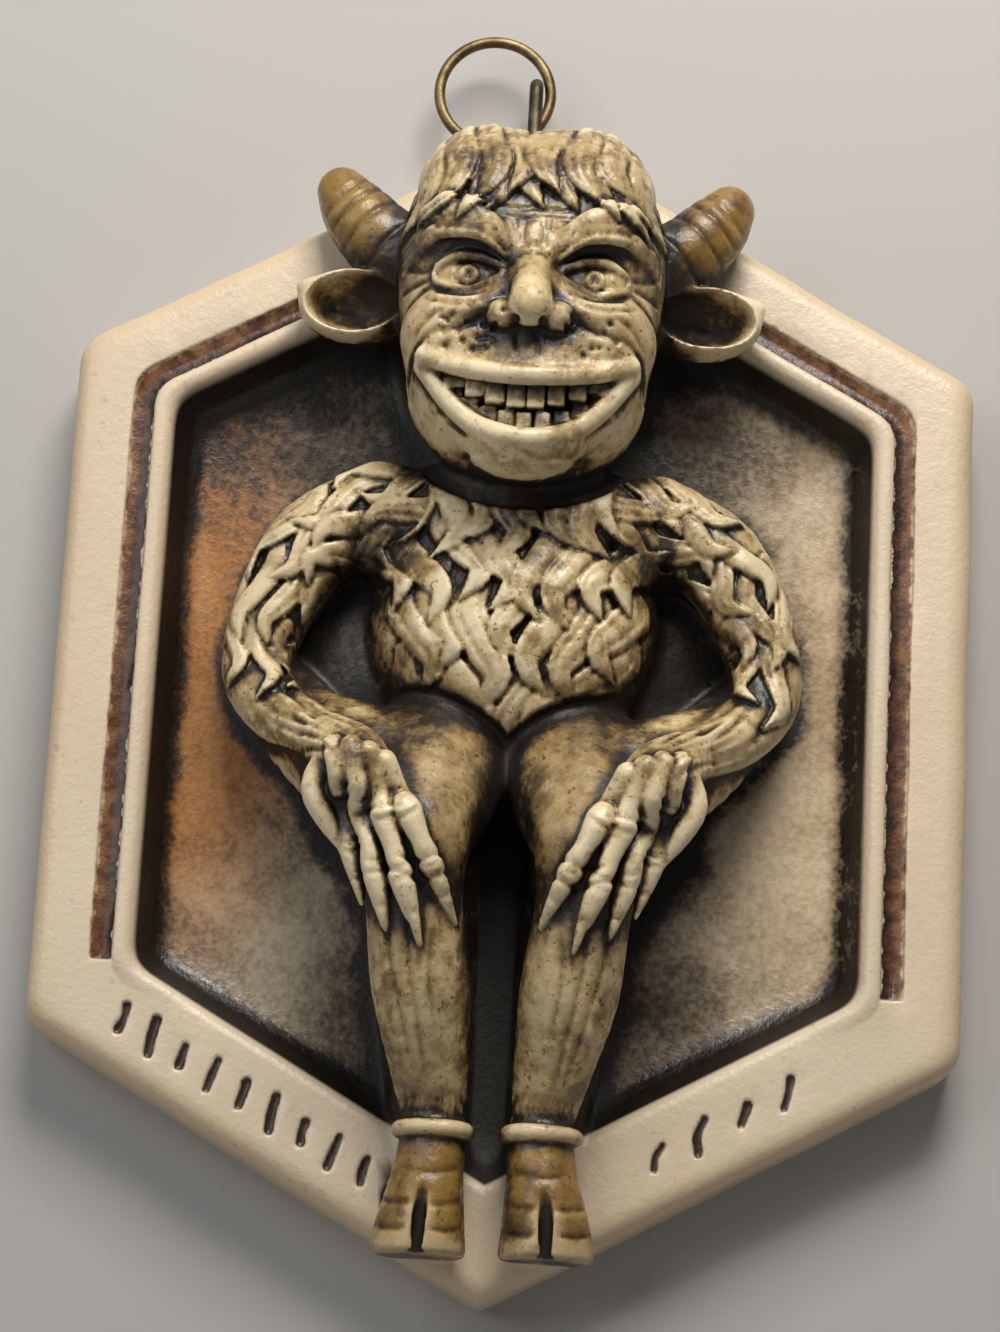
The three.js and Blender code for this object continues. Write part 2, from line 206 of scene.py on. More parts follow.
def plateDistance(x, h, z):
    # inside the outline, above the back and below a top whose height follows the inset, with a
    # round bead on it that fades out below the groove's end
    inset = insetOf(x, z)
    top = np.interp(inset, sectionInset, sectionTop)
    beaded = np.clip(z / 6 + 7.6, 0, 1)
    bead = np.sqrt(np.maximum(1 - ((inset - plate["beadInset"]) / plate["beadHalf"]) ** 2, 0))
    top = top + beaded * plate["beadRise"] * bead
    steep = np.interp(inset, sectionInset, sectionSteep)
    above = (h - top) / np.sqrt(1 + steep**2)
    body = -softMin(-above, inset, plate["edgeBlend"])
    return -softMin(-body, h, plate["backBlend"])


def grooveDistance(x, h, z):
    # a trough at a set inset, its floor rising away from the middle line
    across = np.abs(insetOf(x, z) - plate["grooveInset"])
    floor = plate["grooveFloor"] + 0.25 * across - h
    return np.maximum(np.maximum(across - plate["grooveHalf"], floor), plate["grooveEnd"] - z)


melt(clay["low"], plate["high"], plateDistance, 0.1)
carve(*plate["grooveBox"], grooveDistance, 0.35)
print("plate laid")

# The seated figure. Stops are x, height, z, radius; eggs are centre and three half sizes.
figure = {
    "skull": (0, 22, 55, 18.5, 15.5, 20),
    "crown": (7, 21, 63.5, 10.4, 13.6, 14.6),
    "muzzle": (0, 23, 40, 16.5, 15, 13.5),
    "chin": (0, 31, 29.5, 7.5, 6, 4.4),
    "cheek": (11.2, 30, 45, 6, 6, 5.5),
    "cheekFold": [(2.5, 36, 51, 1.2), (7, 36.4, 47.6, 1.6), (11.5, 35, 47.2, 1.6)],
    "socket": (8.8, 41, 53.2, 7.4, 7, 4.6),
    "headColumn": {"z": 52.5, "halfX": 17.8, "halfZ": 20.6, "mean": 18, "top": 19},
    "headBox": ((-19, 3, 31), (19, 22, 74)),
    "torso": (0, 10, 10, 20, 15, 21),
    "arm": [
        (19, 11, 25, 7.2), (28, 12, 20, 6.6), (33.5, 12, 10, 5.6), (35, 13, 1, 4.9), (31.5, 17, -5.5, 4.3),
        (26, 22, -9.5, 3.6), (21, 27, -13, 3.3),
    ],
    "armBacking": [(33, 7, 0, 5), (27, 11, -7, 6.6), (18, 15, -13, 9)],
    "thigh": [(9, 12, -10, 10), (11, 19, -17, 9.4), (12, 25, -23, 7.8)],
    "shin": [
        (12, 25.5, -24, 7.4), (11.2, 24.5, -33, 6.4), (9.8, 22, -43, 6.6), (8.2, 18.5, -53, 5.2),
        (7.2, 17, -60, 4.2), (7.2, 17, -65, 4.4),
    ],
    "shinBacking": [(11, 11, -24, 8), (9.4, 9, -43, 7), (7.4, 9, -64, 5)],
    "hoof": [(7.2, 17, -63, 4.2), (7.8, 17.5, -70, 5.2), (8.4, 17, -76, 6.2), (8.4, 16.6, -82, 6.6)],
    "sole": -78,
    "cleft": [(7.7, 23, -67.5, 0.3), (8.2, 22.6, -72, 0.9), (8.5, 21.6, -80, 1.2)],
    "cuff": {"x": 7.2, "h": 17, "z": -61.5, "radius": 4.5, "girth": 1.15},
    "horn": [(14, 17, 58, 6.2), (20.5, 17, 62.5, 5.7), (25, 17, 67, 4.9), (27.4, 16.8, 70.4, 3.6)],
    "ear": (24.5, 17, 53.4, 8, 6.4, 5.2),
    "earTip": [(27, 16.5, 54, 4), (30.5, 17, 55.2, 2.2), (32.2, 17.5, 55.8, 0.8)],
    "earHollow": (24.9, 21.4, 53.2, 6.8, 7.8, 4.2),
    "backing": (0, 4, 8, 33, 7.5, 21),
    "shoulders": (0, 8, 23, 27, 15, 11),
}


def headBack(x, h, z):
    # a column out from the plate with an egg-shaped section, ending inside the skull
    column = figure["headColumn"]
    ring = np.sqrt((x / column["halfX"]) ** 2 + ((z - column["z"]) / column["halfZ"]) ** 2)
    return np.maximum((ring - 1) * column["mean"], h - column["top"])


egg(figure["skull"], 0.5)
egg(figure["muzzle"], 4)
egg(figure["chin"], 3)
for side in (-1, 1):
    egg(sided(figure["crown"], side), 4)
    egg(sided(figure["cheek"], side), 4)
    egg(sided(figure["socket"], side), 1.4, carve)
    limb(mirrored(figure["cheekFold"], side), 2)
melt(*figure["headBox"], headBack, 3)

# The mouth is cut a set depth below the face between two curved lip lines.
mouth = {
    "half": 14, "top": 37, "topRise": 3.4, "low": 29.8, "lowRise": 10.6, "depth": 4.2,
    "lip": 1.45, "lipShift": (0.6, -0.7), "lipSink": 0.4, "box": ((-16, 24, 27), (16, 44, 43)),
}


def lipLine(x, low):
    # place of a lip, rising with the square of the distance from the middle
    share = (x / mouth["half"]) ** 2
    return mouth["low"] + mouth["lowRise"] * share if low else mouth["top"] + mouth["topRise"] * share


def faceHeight(x, z):
    # height at which a line towards the viewer leaves the clay
    i = np.clip(np.searchsorted(axes[0], x), 0, len(axes[0]) - 1)
    k = np.clip(np.searchsorted(axes[2], z), 0, len(axes[2]) - 1)
    inside = field[i, :, k] < 0
    last = len(axes[1]) - 1 - np.argmax(inside[..., ::-1], -1)
    here = np.take_along_axis(field[i, :, k], last[..., None], -1)[..., 0]
    return axes[1][last] - here


lipX = np.linspace(-mouth["half"], mouth["half"], 9)
lips = []
for low in (False, True):
    lipZ = lipLine(lipX, low) + mouth["lipShift"][low]
    lipH = faceHeight(lipX, lipZ) - mouth["lipSink"]
    lips.append(np.column_stack([lipX, lipH, lipZ, np.full(9, mouth["lip"])]))


def tileDistance(x, h, z, tile):
    # box with rounded edges
    gaps = [np.abs(v - tile[n]) - tile[n + 3] + 0.35 for n, v in enumerate((x, h, z))]
    outside = np.sqrt(sum(np.maximum(gap, 0) ** 2 for gap in gaps))
    return outside + np.minimum(np.maximum(np.maximum(gaps[0], gaps[1]), gaps[2]), 0) - 0.35


bite = {"rows": ((False, 8, 2.75), (True, 9, 2.45)), "offset": (-0.26, 0.24), "sunk": 2.7, "half": 0.23}
teeth = []
for low, count, pitch in bite["rows"]:
    toothX = pitch * (np.arange(count) - (count - 1) / 2)
    gape = lipLine(toothX, False) - lipLine(toothX, True)
    toothZ = lipLine(toothX, low) + bite["offset"][low] * gape
    toothH = faceHeight(toothX, toothZ) - bite["sunk"] + 0.12 * rng.normal(size=count)
    half = bite["half"] * gape + 0.12 * rng.random(count)
    size = np.column_stack([np.full(count, pitch / 2 - 0.05), np.full(count, 1.7), np.maximum(half, 0.5)])
    teeth += list(np.column_stack([toothX + rng.normal(0, 0.06, count), toothH, toothZ, size]))
cut, (x, _, z) = window(*mouth["box"])
hollow = 0.8 * np.maximum(z - lipLine(x, False), lipLine(x, True) - z)
hollow = np.maximum(hollow, -(field[cut] + mouth["depth"]))
field[cut] = -softMin(-field[cut], hollow.astype(np.float32), 0.4)
for tooth in teeth:
    melt(tooth[:3] - tooth[3:], tooth[:3] + tooth[3:], lambda x, h, z: tileDistance(x, h, z, tooth), 0.15)
for lip in lips:
    limb(lip, 0.7)

# Nose, eyes with their lids, and brows.
eye = {"x": 8.6, "z": 52.5, "ball": (4.4, 2.9, 2.7), "half": 4.7, "upper": 2.5, "lower": 2}
eye["h"] = float(faceHeight(eye["x"], eye["z"])) - 1.6
nose = {
    "bridge": [(0, 34, 58, 1.8), (0, 37, 53, 2.1), (0, 39.4, 48.6, 2.7), (0, 40.4, 46.6, 3)],
    "wing": (3.6, 37.6, 45.8, 2.4, 3, 2.1),
    "nostril": (2.1, 41, 43.9, 1, 1.8, 1),
}
brow = {
    "stops": [(3.2, 37, 56.2, 0.6), (7.8, 38, 59, 1.15), (13, 34.6, 60, 1.1), (17.6, 27.6, 56.4, 0.4)],
    "lifts": (-1.8, -0.6, 0.6, 1.8),
}
limb(nose["bridge"], 1.6)
for side in (-1, 1):
    egg(sided(nose["wing"], side), 0.9)
    egg(sided(nose["nostril"], side), 0.4, carve)
    egg((side * eye["x"], eye["h"], eye["z"], *eye["ball"]), 0.25)
    for sign, opening, girth in ((1, eye["upper"], 0.9), (-1, eye["lower"], 0.7)):
        turn = np.linspace(0, np.pi, 11)
        lidX = side * (eye["x"] + eye["half"] * np.cos(turn))
        lidZ = eye["z"] + sign * opening * np.sin(turn)
        lidH = faceHeight(lidX, lidZ) + 0.1
        limb(np.stack([lidX, lidH, lidZ, girth * (0.5 + 0.5 * np.sin(turn))], 1), 0.3)
    for lift in brow["lifts"]:
        strand = [(x, h - 0.3 * abs(lift), z + lift * (0.8 + 0.01 * x), r) for x, h, z, r in brow["stops"]]
        limb(mirrored(strand, side), 0.4)
print("face modelled")

# Horns and cupped ears.
for side in (-1, 1):
    limb(mirrored(figure["horn"], side), 1.2)
    egg(sided(figure["ear"], side), 1)
    limb(mirrored(figure["earTip"], side), 1)
    egg(sided(figure["earHollow"], side), 0.5, carve)

# Trunk, arms and legs.
for form in ("backing", "torso", "shoulders"):
    egg(figure[form], 2)
for side in (-1, 1):
    limb(mirrored(figure["arm"], side), 1.5)
    limb(mirrored(figure["armBacking"], side), 2)
    limb(mirrored(figure["thigh"], side), 2)
    limb(mirrored(figure["shinBacking"], side), 1.5)
    limb(mirrored(figure["shin"], side), 1.2)
    hoof = smoothPath(mirrored(figure["hoof"], side))
    melt(
        *pathBox(hoof),
        lambda x, h, z: -softMin(-nearPath(x, h, z, hoof), z - figure["sole"], 1),
        0.6,
    )
    limb(mirrored(figure["cleft"], side), 0.4, 4, carve)
    cuff = figure["cuff"]
    turn = np.linspace(0, 2 * np.pi, 17)
    cuffX = side * cuff["x"] + cuff["radius"] * np.cos(turn)
    cuffH = cuff["h"] + cuff["radius"] * np.sin(turn)
    limb(np.column_stack([cuffX, cuffH, np.full(17, cuff["z"]), np.full(17, cuff["girth"])]), 0.3, 1)

# Long bony fingers and a thumb lie spread over each knee, thick at the joints and ending in claws.
hand = {
    "along": (0, 0.2, 0.32, 0.5, 0.64, 0.8, 1),
    "girth": (1.7, 1.55, 2, 1.35, 1.75, 1.25, 0.35),
    "root": ((22.8, -13.2), (20.6, -13.8), (18.2, -14.6), (16, -15.6)),
    "tip": ((18, -33.5), (14.2, -38), (10, -39), (5.6, -35.5)),
    "knuckle": (1.9, 1.7, 1.7),
    "palm": [(24, 25.5, -11, 3.6), (20.5, 29.4, -14, 4.4), (18, 31, -16.6, 3.6)],
    "thumb": [(23.5, 28.6, -14, 2), (25, 29.4, -18.4, 1.9), (23.4, 29.4, -22.4, 1.5), (21, 28.6, -26.6, 0.4)],
    "sinew": [(32.5, 18.5, -2.4, 0.5), (27.6, 24.4, -7.6, 0.8)],
    "sinewShift": [(-0.8, 1, -1.6, 0), (-1.1, 0.8, -1.2, 0)],
}
for side in (-1, 1):
    limb(mirrored(hand["palm"], side), 1.2)
    for root, tip in zip(hand["root"], hand["tip"]):
        along = np.array(hand["along"])
        fx = side * (root[0] + along * (tip[0] - root[0]))
        fz = root[1] + along * (tip[1] - root[1])
        fh = np.clip(faceHeight(fx, fz), 27.6, 35) + 0.9 * np.sin(np.pi * along) + 0.35
        limb(np.column_stack([fx, fh, fz, hand["girth"]]), 0.3, 3)
        egg((fx[2], fh[2] + 0.5, fz[2], *hand["knuckle"]), 0.4)
    limb(mirrored(hand["thumb"], side), 0.4, 3)
    for n, root in enumerate(hand["root"]):
        sinew = np.add(hand["sinew"], n * np.array(hand["sinewShift"]))
        limb(mirrored([*sinew, (root[0], 31 + 0.6 * n, root[1], 0.7)], side), 0.5, 3)
print("limbs modelled")


# Hair and tool lines are shallow, so they are drawn as maps of height over x and z, at half the
# grid's step, and laid on the front skin of the clay.
fine = [np.arange(a[0], a[-1] + clay["step"], clay["step"] / 2) for a in (axes[0], axes[2])]
bodyHair, armHair, scored = (np.zeros([len(a) for a in fine], np.float32) for _ in range(3))


def besidePath(path, margin):
    # part of the map near a flat path, the share of the path's length at its nearest point, and
    # the distance from it
    cuts = []
    for axis, places in zip(fine, path.T):
        cuts.append(slice(*np.searchsorted(axis, (places.min() - margin, places.max() + margin))))
    x, z = fine[0][cuts[0]][:, None], fine[1][cuts[1]][None]
    gap = np.full((x.size, z.size), 99.0)
    share = np.zeros_like(gap)
    for n, (a, b) in enumerate(zip(path[:-1], path[1:])):
        run = b - a
        t = np.clip(((x - a[0]) * run[0] + (z - a[1]) * run[1]) / max(run @ run, 1e-6), 0, 1)
        here = np.hypot(x - a[0] - t * run[0], z - a[1] - t * run[1])
        share = np.where(here < gap, (n + t) / (len(path) - 1), share)
        gap = np.minimum(gap, here)
    return tuple(cuts), share, gap


def score(stops, girth=0.38, depth=0.45, fade=0.2):
    # a tool line, bell-shaped across and fading towards its ends
    path = smoothPath(stops, 5)
    cut, share, gap = besidePath(path, 3 * girth)
    ends = np.clip(np.minimum(share, 1 - share) / fade, 0, 1) if fade else 1
    scored[cut] = np.maximum(scored[cut], depth * np.sqrt(ends) * np.exp(-((gap / girth) ** 2)))


def drawLock(hair, root, tip, sway, half, rise, lined):
    # a flame-shaped lock that sways twice: flatly rounded across, climbing towards its point so
    # that it lies over what was drawn before, with a groove round it and some with lines down it
    root, tip = np.asarray(root, float), np.asarray(tip, float)
    across = np.array([root[1] - tip[1], tip[0] - root[0]]) / np.linalg.norm(tip - root)
    shares = np.array([0, 0.22, 0.48, 0.76, 1])
    bends = np.array([0, 0.8, 0, -1, 0.5])
    path = smoothPath(root + shares[:, None] * (tip - root) + sway * bends[:, None] * across, 5)
    cut, share, gap = besidePath(path, half + 1)
    wide = half * np.interp(share, (0, 0.25, 0.6, 0.85, 1), (0.7, 1, 0.85, 0.5, 0.06))
    part = np.minimum(gap / wide, 1)
    body = 0.15 + rise * ramp(share, 0.1, 0.85) + 0.24 * wide * np.sqrt(1 - part**2)
    lines = np.exp(-(((part - 0.45) * wide / 0.27) ** 2)) * np.sin(np.pi * share) ** 0.5
    groove = np.exp(-((np.maximum(gap - wide, 0) / 0.36) ** 2))
    hair[cut] = np.where(part < 1, body - 0.34 * lined * lines, hair[cut] - 0.4 * groove)


def halfWidth(z):
    # half the trunk's width at a height, with the shoulders
    eggs = [figure[form] for form in ("torso", "shoulders")]
    return max(form[3] * np.sqrt(max(1 - ((z - form[2]) / form[5]) ** 2, 0)) for form in eggs)


chest = {"rows": [(33, 8), (24, 8), (14.5, 7), (5, 6), (-2, 5)], "length": 15.5, "sway": 1.9, "half": 2.65}
for z, count in reversed(chest["rows"]):
    for n in range(count):
        part = 0.92 * (2 * (n + 0.5) / count - 1) + rng.normal(0, 0.02)
        top = z + rng.normal(0, 1.2)
        low = top - chest["length"] + rng.normal(0, 1)
        ends = (part * halfWidth(top), top), (part * halfWidth(max(low, -9)) * 0.95, low)
        turn = chest["sway"] * rng.uniform(0.8, 1.2) * (1 if part > 0 else -1)
        half = chest["half"] * rng.uniform(0.9, 1.1)
        drawLock(bodyHair, *ends, turn, half, rng.uniform(1, 1.3), n % 3 != 1)
fringe = {
    "rows": [(7, 15.5, 61.5, 0.3), (8, 18, 64, 0.9)],
    "crownZ": 87, "gather": 0.55, "sway": 1.5, "half": 3.1,
}
for count, reach, tipZ, rise in fringe["rows"]:
    middle = (count - 1) / 2
    for n in sorted(range(count), key=lambda n: -abs(n - middle)):
        x = reach * (n / middle - 1)
        tip = (x + rng.normal(0, 0.4), tipZ + rng.normal(0, 0.7) - 0.012 * x**2)
        root = (fringe["gather"] * x, fringe["crownZ"] - 0.02 * x**2)
        turn = fringe["sway"] * (1 if x > -1 else -1) * rng.uniform(0.8, 1.2)
        half = fringe["half"] * rng.uniform(0.9, 1.1)
        climb = (rise + rng.uniform(0, 0.4)) * (1 - 0.0016 * x**2)
        drawLock(bodyHair, root, tip, turn, half, climb, True)
sleeve = {
    "root": (10, 12, 28, 7.4), "rows": 5, "pitch": 8, "length": 13.5, "sway": 1.5, "half": 2.1,
    "wrist": (44, 49, 54, 59, 63),
}
for side in (-1, 1):
    arm = smoothPath(mirrored([sleeve["root"], *figure["arm"]], side), 8)
    run = np.concatenate([[0], np.cumsum(np.linalg.norm(np.diff(arm[:, [0, 2]], axis=0), axis=1))])
    ahead = np.gradient(arm[:, [0, 2]], axis=0)
    ahead /= np.linalg.norm(ahead, axis=1)[:, None]

    def armPoint(v, u):
        # point of the map at a length down the arm and a distance across it
        place = [np.interp(v, run, arm[:, n]) for n in (0, 2)]
        along = [np.interp(v, run, ahead[:, n]) for n in (0, 1)]
        return place[0] - u * along[1], place[1] + u * along[0]

    for row in reversed(range(sleeve["rows"])):
        for n in range(3):
            u = 4.1 * (n - 1) + (1.1 if row % 2 else -1.1)
            v = sleeve["pitch"] * row + rng.normal(0, 1)
            turn = sleeve["sway"] * rng.uniform(0.7, 1.2) * rng.choice((-1, 1))
            ends = armPoint(v, u), armPoint(v + sleeve["length"], 0.95 * u)
            drawLock(armHair, *ends, turn, sleeve["half"] - 0.1 * row, 0.9, n != row % 3)
    for n in range(6):
        u = 1.25 * (n - 2.5)
        wrist = [armPoint(v, u * (1.25 - 0.006 * v) + 0.5 * np.sin(v / 3 + n)) for v in sleeve["wrist"]]
        score(wrist[n % 2 :], 0.4, 0.5)
print("hair drawn")

# Tool lines: face, hands, legs, hooves and horns, for one side and mirrored.
browLine = np.array(brow["stops"])[:, [0, 2]].T
faceLines = [
    [(4.9, 46.6), (9, 44.4), (14, 43.2), (16.8, 39)],
    [(13.4, 53.4), (15.2, 54), (17.2, 55.4)],
    [(13.6, 52.4), (15.8, 52.2), (17.8, 52.2)],
    [(13.4, 51.4), (15.4, 50.2), (17.2, 48.6)],
    [(4, 50.2), (7.6, 48.9), (11, 49.4), (13.4, 51)],
    [(5.6, 48.6), (8.6, 47.4), (12, 47.8), (14.6, 49.4)],
    [(4.2, 54.4), (7, 56.2), (10.2, 56.4), (13.2, 54.4)],
    [(11, 46.8), (13.8, 45.6), (15.8, 42.6)],
    [(0.9, 60.6), (1.5, 58.4), (1.2, 56)],
    [(2.4, 61), (2.6, 59.4), (2.2, 58)],
    [(0, 54.4), (1.2, 54.7), (2.2, 54.2)],
    [(0, 56), (1, 56.3), (1.9, 55.8)],
    [(0, 26.6), (4, 27.2), (8, 28.8), (11.6, 31.6)],
    [(15.6, 41), (16.8, 37.6), (16, 34)],
    [(1.3, 43.4), (1.5, 41.6), (1.2, 40)],
]
legLines = [
    [(6.2, -29), (9.6, -30.6), (13.4, -30.2), (16.4, -28.4)],
    [(7.4, -27), (10.4, -28.4), (14, -28)],
    [(14.6, -33), (14, -40), (12, -48), (10, -55)],
    [(8.4, -36), (8.6, -43), (7.4, -50)],
    [(11.6, -34), (11.4, -41), (9.6, -50), (8.2, -57)],
    [(3.4, -66.6), (7.6, -67.6), (11.4, -66.6)],
    [(3, -71), (5.4, -71.6), (7, -71.4)],
    [(9.4, -71.4), (11.4, -71.6), (13.4, -71)],
    [(2.8, -74.4), (5.2, -75), (7, -74.8)],
    [(9.8, -74.8), (12, -75), (14, -74.4)],
]
for side in (-1, 1):
    for stops in faceLines + legLines:
        score(mirrored(stops, side))
    for x in np.linspace(3.4, 12.6, 10):
        low, high = np.interp((x, x + 2.8), *browLine)
        browHair = [(x, low - 1.5), (x + 1.2, low - 0.2), (x + 2.8, high + 1.4)]
        score(mirrored(browHair, side), 0.34, 0.5)
    turn = np.linspace(0, 2 * np.pi, 17)
    iris = np.column_stack([side * eye["x"] + 1.7 * np.cos(turn), eye["z"] + 1.7 * np.sin(turn)])
    score(iris, 0.3, 0.45, 0)
    score([(side * eye["x"], eye["z"] + 0.2), (side * eye["x"], eye["z"] - 0.2)], 0.6, 0.8, 0)
    for root, tip in zip(hand["root"], hand["tip"]):
        ahead = np.subtract(tip, root) / np.linalg.norm(np.subtract(tip, root))
        for along, half in ((0.28, 1.5), (0.34, 1.7), (0.6, 1.2), (0.66, 1.3), (0.83, 0.9)):
            centre = np.add(root, along * np.subtract(tip, root))
            beside = half * np.array([-ahead[1], ahead[0]])
            score(mirrored([centre - beside, centre + 0.35 * ahead, centre + beside], side), 0.28, 0.35)
    for x in np.linspace(3.6, 11, 10):
        tuft = [(x + 0.3, -56.4 + rng.uniform(-0.6, 0.6)), (x - 0.2, -58.4), (x + 0.2, -60)]
        score(mirrored(tuft, side), 0.34, 0.5)
    for x, _, z, wide in smoothPath(figure["horn"], 8)[[7, 12, 16, 20]]:
        hornRing = [(x - 0.7 * wide, z + 0.7 * wide), (x + 0.25, z + 0.25), (x + 0.7 * wide, z - 0.7 * wide)]
        score(mirrored(hornRing, side))
for rise in (0, 1.4):
    crease = [(x, 60.2 + rise + 0.3 * np.sin(0.9 * x + rise) + 0.02 * x * x) for x in np.linspace(-6, 6, 7)]
    score(crease, 0.34, 0.4)
pitX = rng.uniform(3.5, 12, 34) * rng.choice((-1, 1), 34)
for x, z in zip(pitX, rng.uniform(41.2, 46, 34)):
    score([(x, z + 0.06), (x, z - 0.06)], rng.uniform(0.26, 0.45), 0.7, 0)


def thinOut(drawn):
    # weighted mean of the nine fine points round each point of the clay's grid
    wide = np.pad(drawn, 1, mode="edge")
    soft = wide[:-2] + 2 * wide[1:-1] + wide[2:]
    soft = soft[:, :-2] + 2 * soft[:, 1:-1] + soft[:, 2:]
    return soft[::2, ::2][: len(axes[0]), : len(axes[2])] / 16


def limbFront(path, x, z):
    # height of a round limb's front over a point, far below where there is none
    top = np.full((x.size, z.size), -99.0)
    for a, b in zip(path[:-1], path[1:]):
        run = b - a
        t = (x - a[0]) * run[0] + (z - a[2]) * run[2]
        t = np.clip(t / max(run[0] ** 2 + run[2] ** 2, 1e-6), 0, 1)
        spare = (a[3] + t * run[3]) ** 2 - (x - a[0] - t * run[0]) ** 2 - (z - a[2] - t * run[2]) ** 2
        top = np.where(spare > 0, np.maximum(top, a[1] + t * run[1] + np.sqrt(np.maximum(spare, 0))), top)
    return top


def frontMap():
    # height of the front skin over the grid's points, nothing where there is no clay
    i, k = np.meshgrid(np.arange(len(axes[0])), np.arange(len(axes[2])), indexing="ij")
    return np.where((field < 0).any(1), faceHeight(axes[0][i], axes[2][k]), 0).astype(np.float32)


# Hair is laid only where the trunk, skull or arm is the foremost form.
front = frontMap()
mapX, mapZ = axes[0][:, None], axes[2][None]
trunkFront = np.max([eggFront(figure[form], mapX, mapZ) for form in ("torso", "shoulders")], 0)
armFront = [limbFront(smoothPath(mirrored(figure["arm"], side)), mapX, mapZ) for side in (-1, 1)]
armFront = np.max(armFront, 0)
onTrunk = ramp(front - trunkFront, -4, -2) * (1 - ramp(front - trunkFront, 1.5, 2.5)) * (mapZ < 36)
for name in ("muzzle", "chin"):
    onTrunk = onTrunk * ramp(eggDistance(mapX, front, mapZ, figure[name]), 3, 4)
for side in (-1, 1):
    thigh = smoothPath(mirrored(figure["thigh"], side))
    onTrunk = onTrunk * ramp(nearPath(mapX, front, mapZ, thigh), 0.5, 1.5)
headFront = [eggFront(figure[form], np.abs(mapX), mapZ) for form in ("skull", "crown")]
onSkull = np.max([ramp(front - top, -3, -2) for top in headFront], 0)
onSkull = onSkull * (mapZ > 58)
onArm = (armFront > 0) * (1 - ramp(np.abs(front - np.maximum(armFront, trunkFront)), 1.5, 2.5))
onArm = onArm * (1 - ramp(np.hypot(*np.gradient(armFront, clay["step"])), 1.4, 3.2))
relief = onArm * thinOut(armHair) + (1 - onArm) * np.maximum(onTrunk, onSkull) * thinOut(bodyHair)
relief = relief - thinOut(scored) * ramp(front, 8, 11)
field -= relief[:, None] * np.clip((axes[1][None, :, None] - front[:, None]) / 1.5 + 3, 0, 1)
print("hair and lines laid")

# Rows of short slanting strokes are cut into the two lower rims.
strokes = {
    "inset": 7.2, "h": 12.15, "girth": 0.75, "length": (3.2, 4.6, 2.6, 4),
    "left": (-50, -12, 10), "right": (23, 40, 4),
}
strokePaths = []
for first, last, count in (strokes["left"], strokes["right"]):
    for n, x in enumerate(np.linspace(first, last, count)):
        middle = plate["height"] / 2 - strokes["inset"] / np.cos(slope) - abs(x) * np.tan(slope)
        half = strokes["length"][n % 4] / 2
        lean = 0.26 + rng.normal(0, 0.06)
        bend = rng.normal(0, 0.22)
        stops = [(x + lean * v + bend * (v == 0), strokes["h"], v - middle) for v in (-half, 0, half)]
        girths = strokes["girth"] * rng.uniform(0.85, 1.15, 3)
        strokePaths.append(smoothPath(np.column_stack([stops, girths]), 3))
for path in strokePaths:
    carve(*pathBox(path), lambda x, h, z: nearPath(x, h, z, path), 0.2)

# Slight waviness of a hand-finished casting, then the flat back and the two holes for the wire.
wave = (
    np.sin(axes[0] * 0.31 + 0.4)[:, None, None] * np.sin(axes[2] * 0.23)[None, None, :]
    + np.sin(axes[0] * 0.13 + 2)[:, None, None] * np.sin(axes[1] * 0.4 + axes[2][:, None] * 0.17).T[None]
)
field += 0.07 * wave.astype(np.float32)
np.maximum(field, -axes[1][None, :, None], out=field)

wire = {
    "x": -0.8, "girth": 1, "nearH": 8.6, "farH": 3.4, "footZ": 76, "shoulderZ": 90,
    "gap": 0.3, "holeZ": 88,
}
arc = np.linspace(0, np.pi, 25)
wireMid, wireHalf = (wire["nearH"] + wire["farH"]) / 2, (wire["nearH"] - wire["farH"]) / 2
legZ = np.linspace(wire["footZ"], wire["shoulderZ"], 12)[:-1]
wireH = [np.full(11, wire["farH"]), wireMid - wireHalf * np.cos(arc), np.full(11, wire["nearH"])]
wireZ = [legZ, wire["shoulderZ"] + wireHalf * np.sin(arc), legZ[::-1]]
wirePath = np.column_stack([np.concatenate(wireH), np.concatenate(wireZ)])
for legH in (wire["farH"], wire["nearH"]):
    holeEnds = (wire["footZ"], wire["holeZ"])
    hole = np.array([(wire["x"], legH, z, wire["girth"] + wire["gap"]) for z in holeEnds])
    carve(*pathBox(hole), lambda x, h, z: nearPath(x, h, z, hole), 0.2)


def settleCorners(nudge=0.02):
    # a square of the grid whose corners lie in and out by turns would pinch the skin, so the outer
    # corner nearest the surface is filled, again and again until no such square is left
    corners = np.array([(0, 0), (1, 0), (1, 1), (0, 1)])
    found = 1
    while found:
        found = 0
        for axis in range(3):
            value = np.moveaxis(field, axis, 0)
            inside = value < 0
            a, b, c, d = inside[:, :-1, :-1], inside[:, 1:, :-1], inside[:, 1:, 1:], inside[:, :-1, 1:]
            i, j, k = np.nonzero((a == c) & (b == d) & (a != b))
            around = np.stack([value[i, j + p, k + q] for p, q in corners])
            nearest = corners[np.where(around < 0, np.inf, around).argmin(0)]
            value[i, j + nearest[:, 0], k + nearest[:, 1]] = -nudge
            found += len(i)


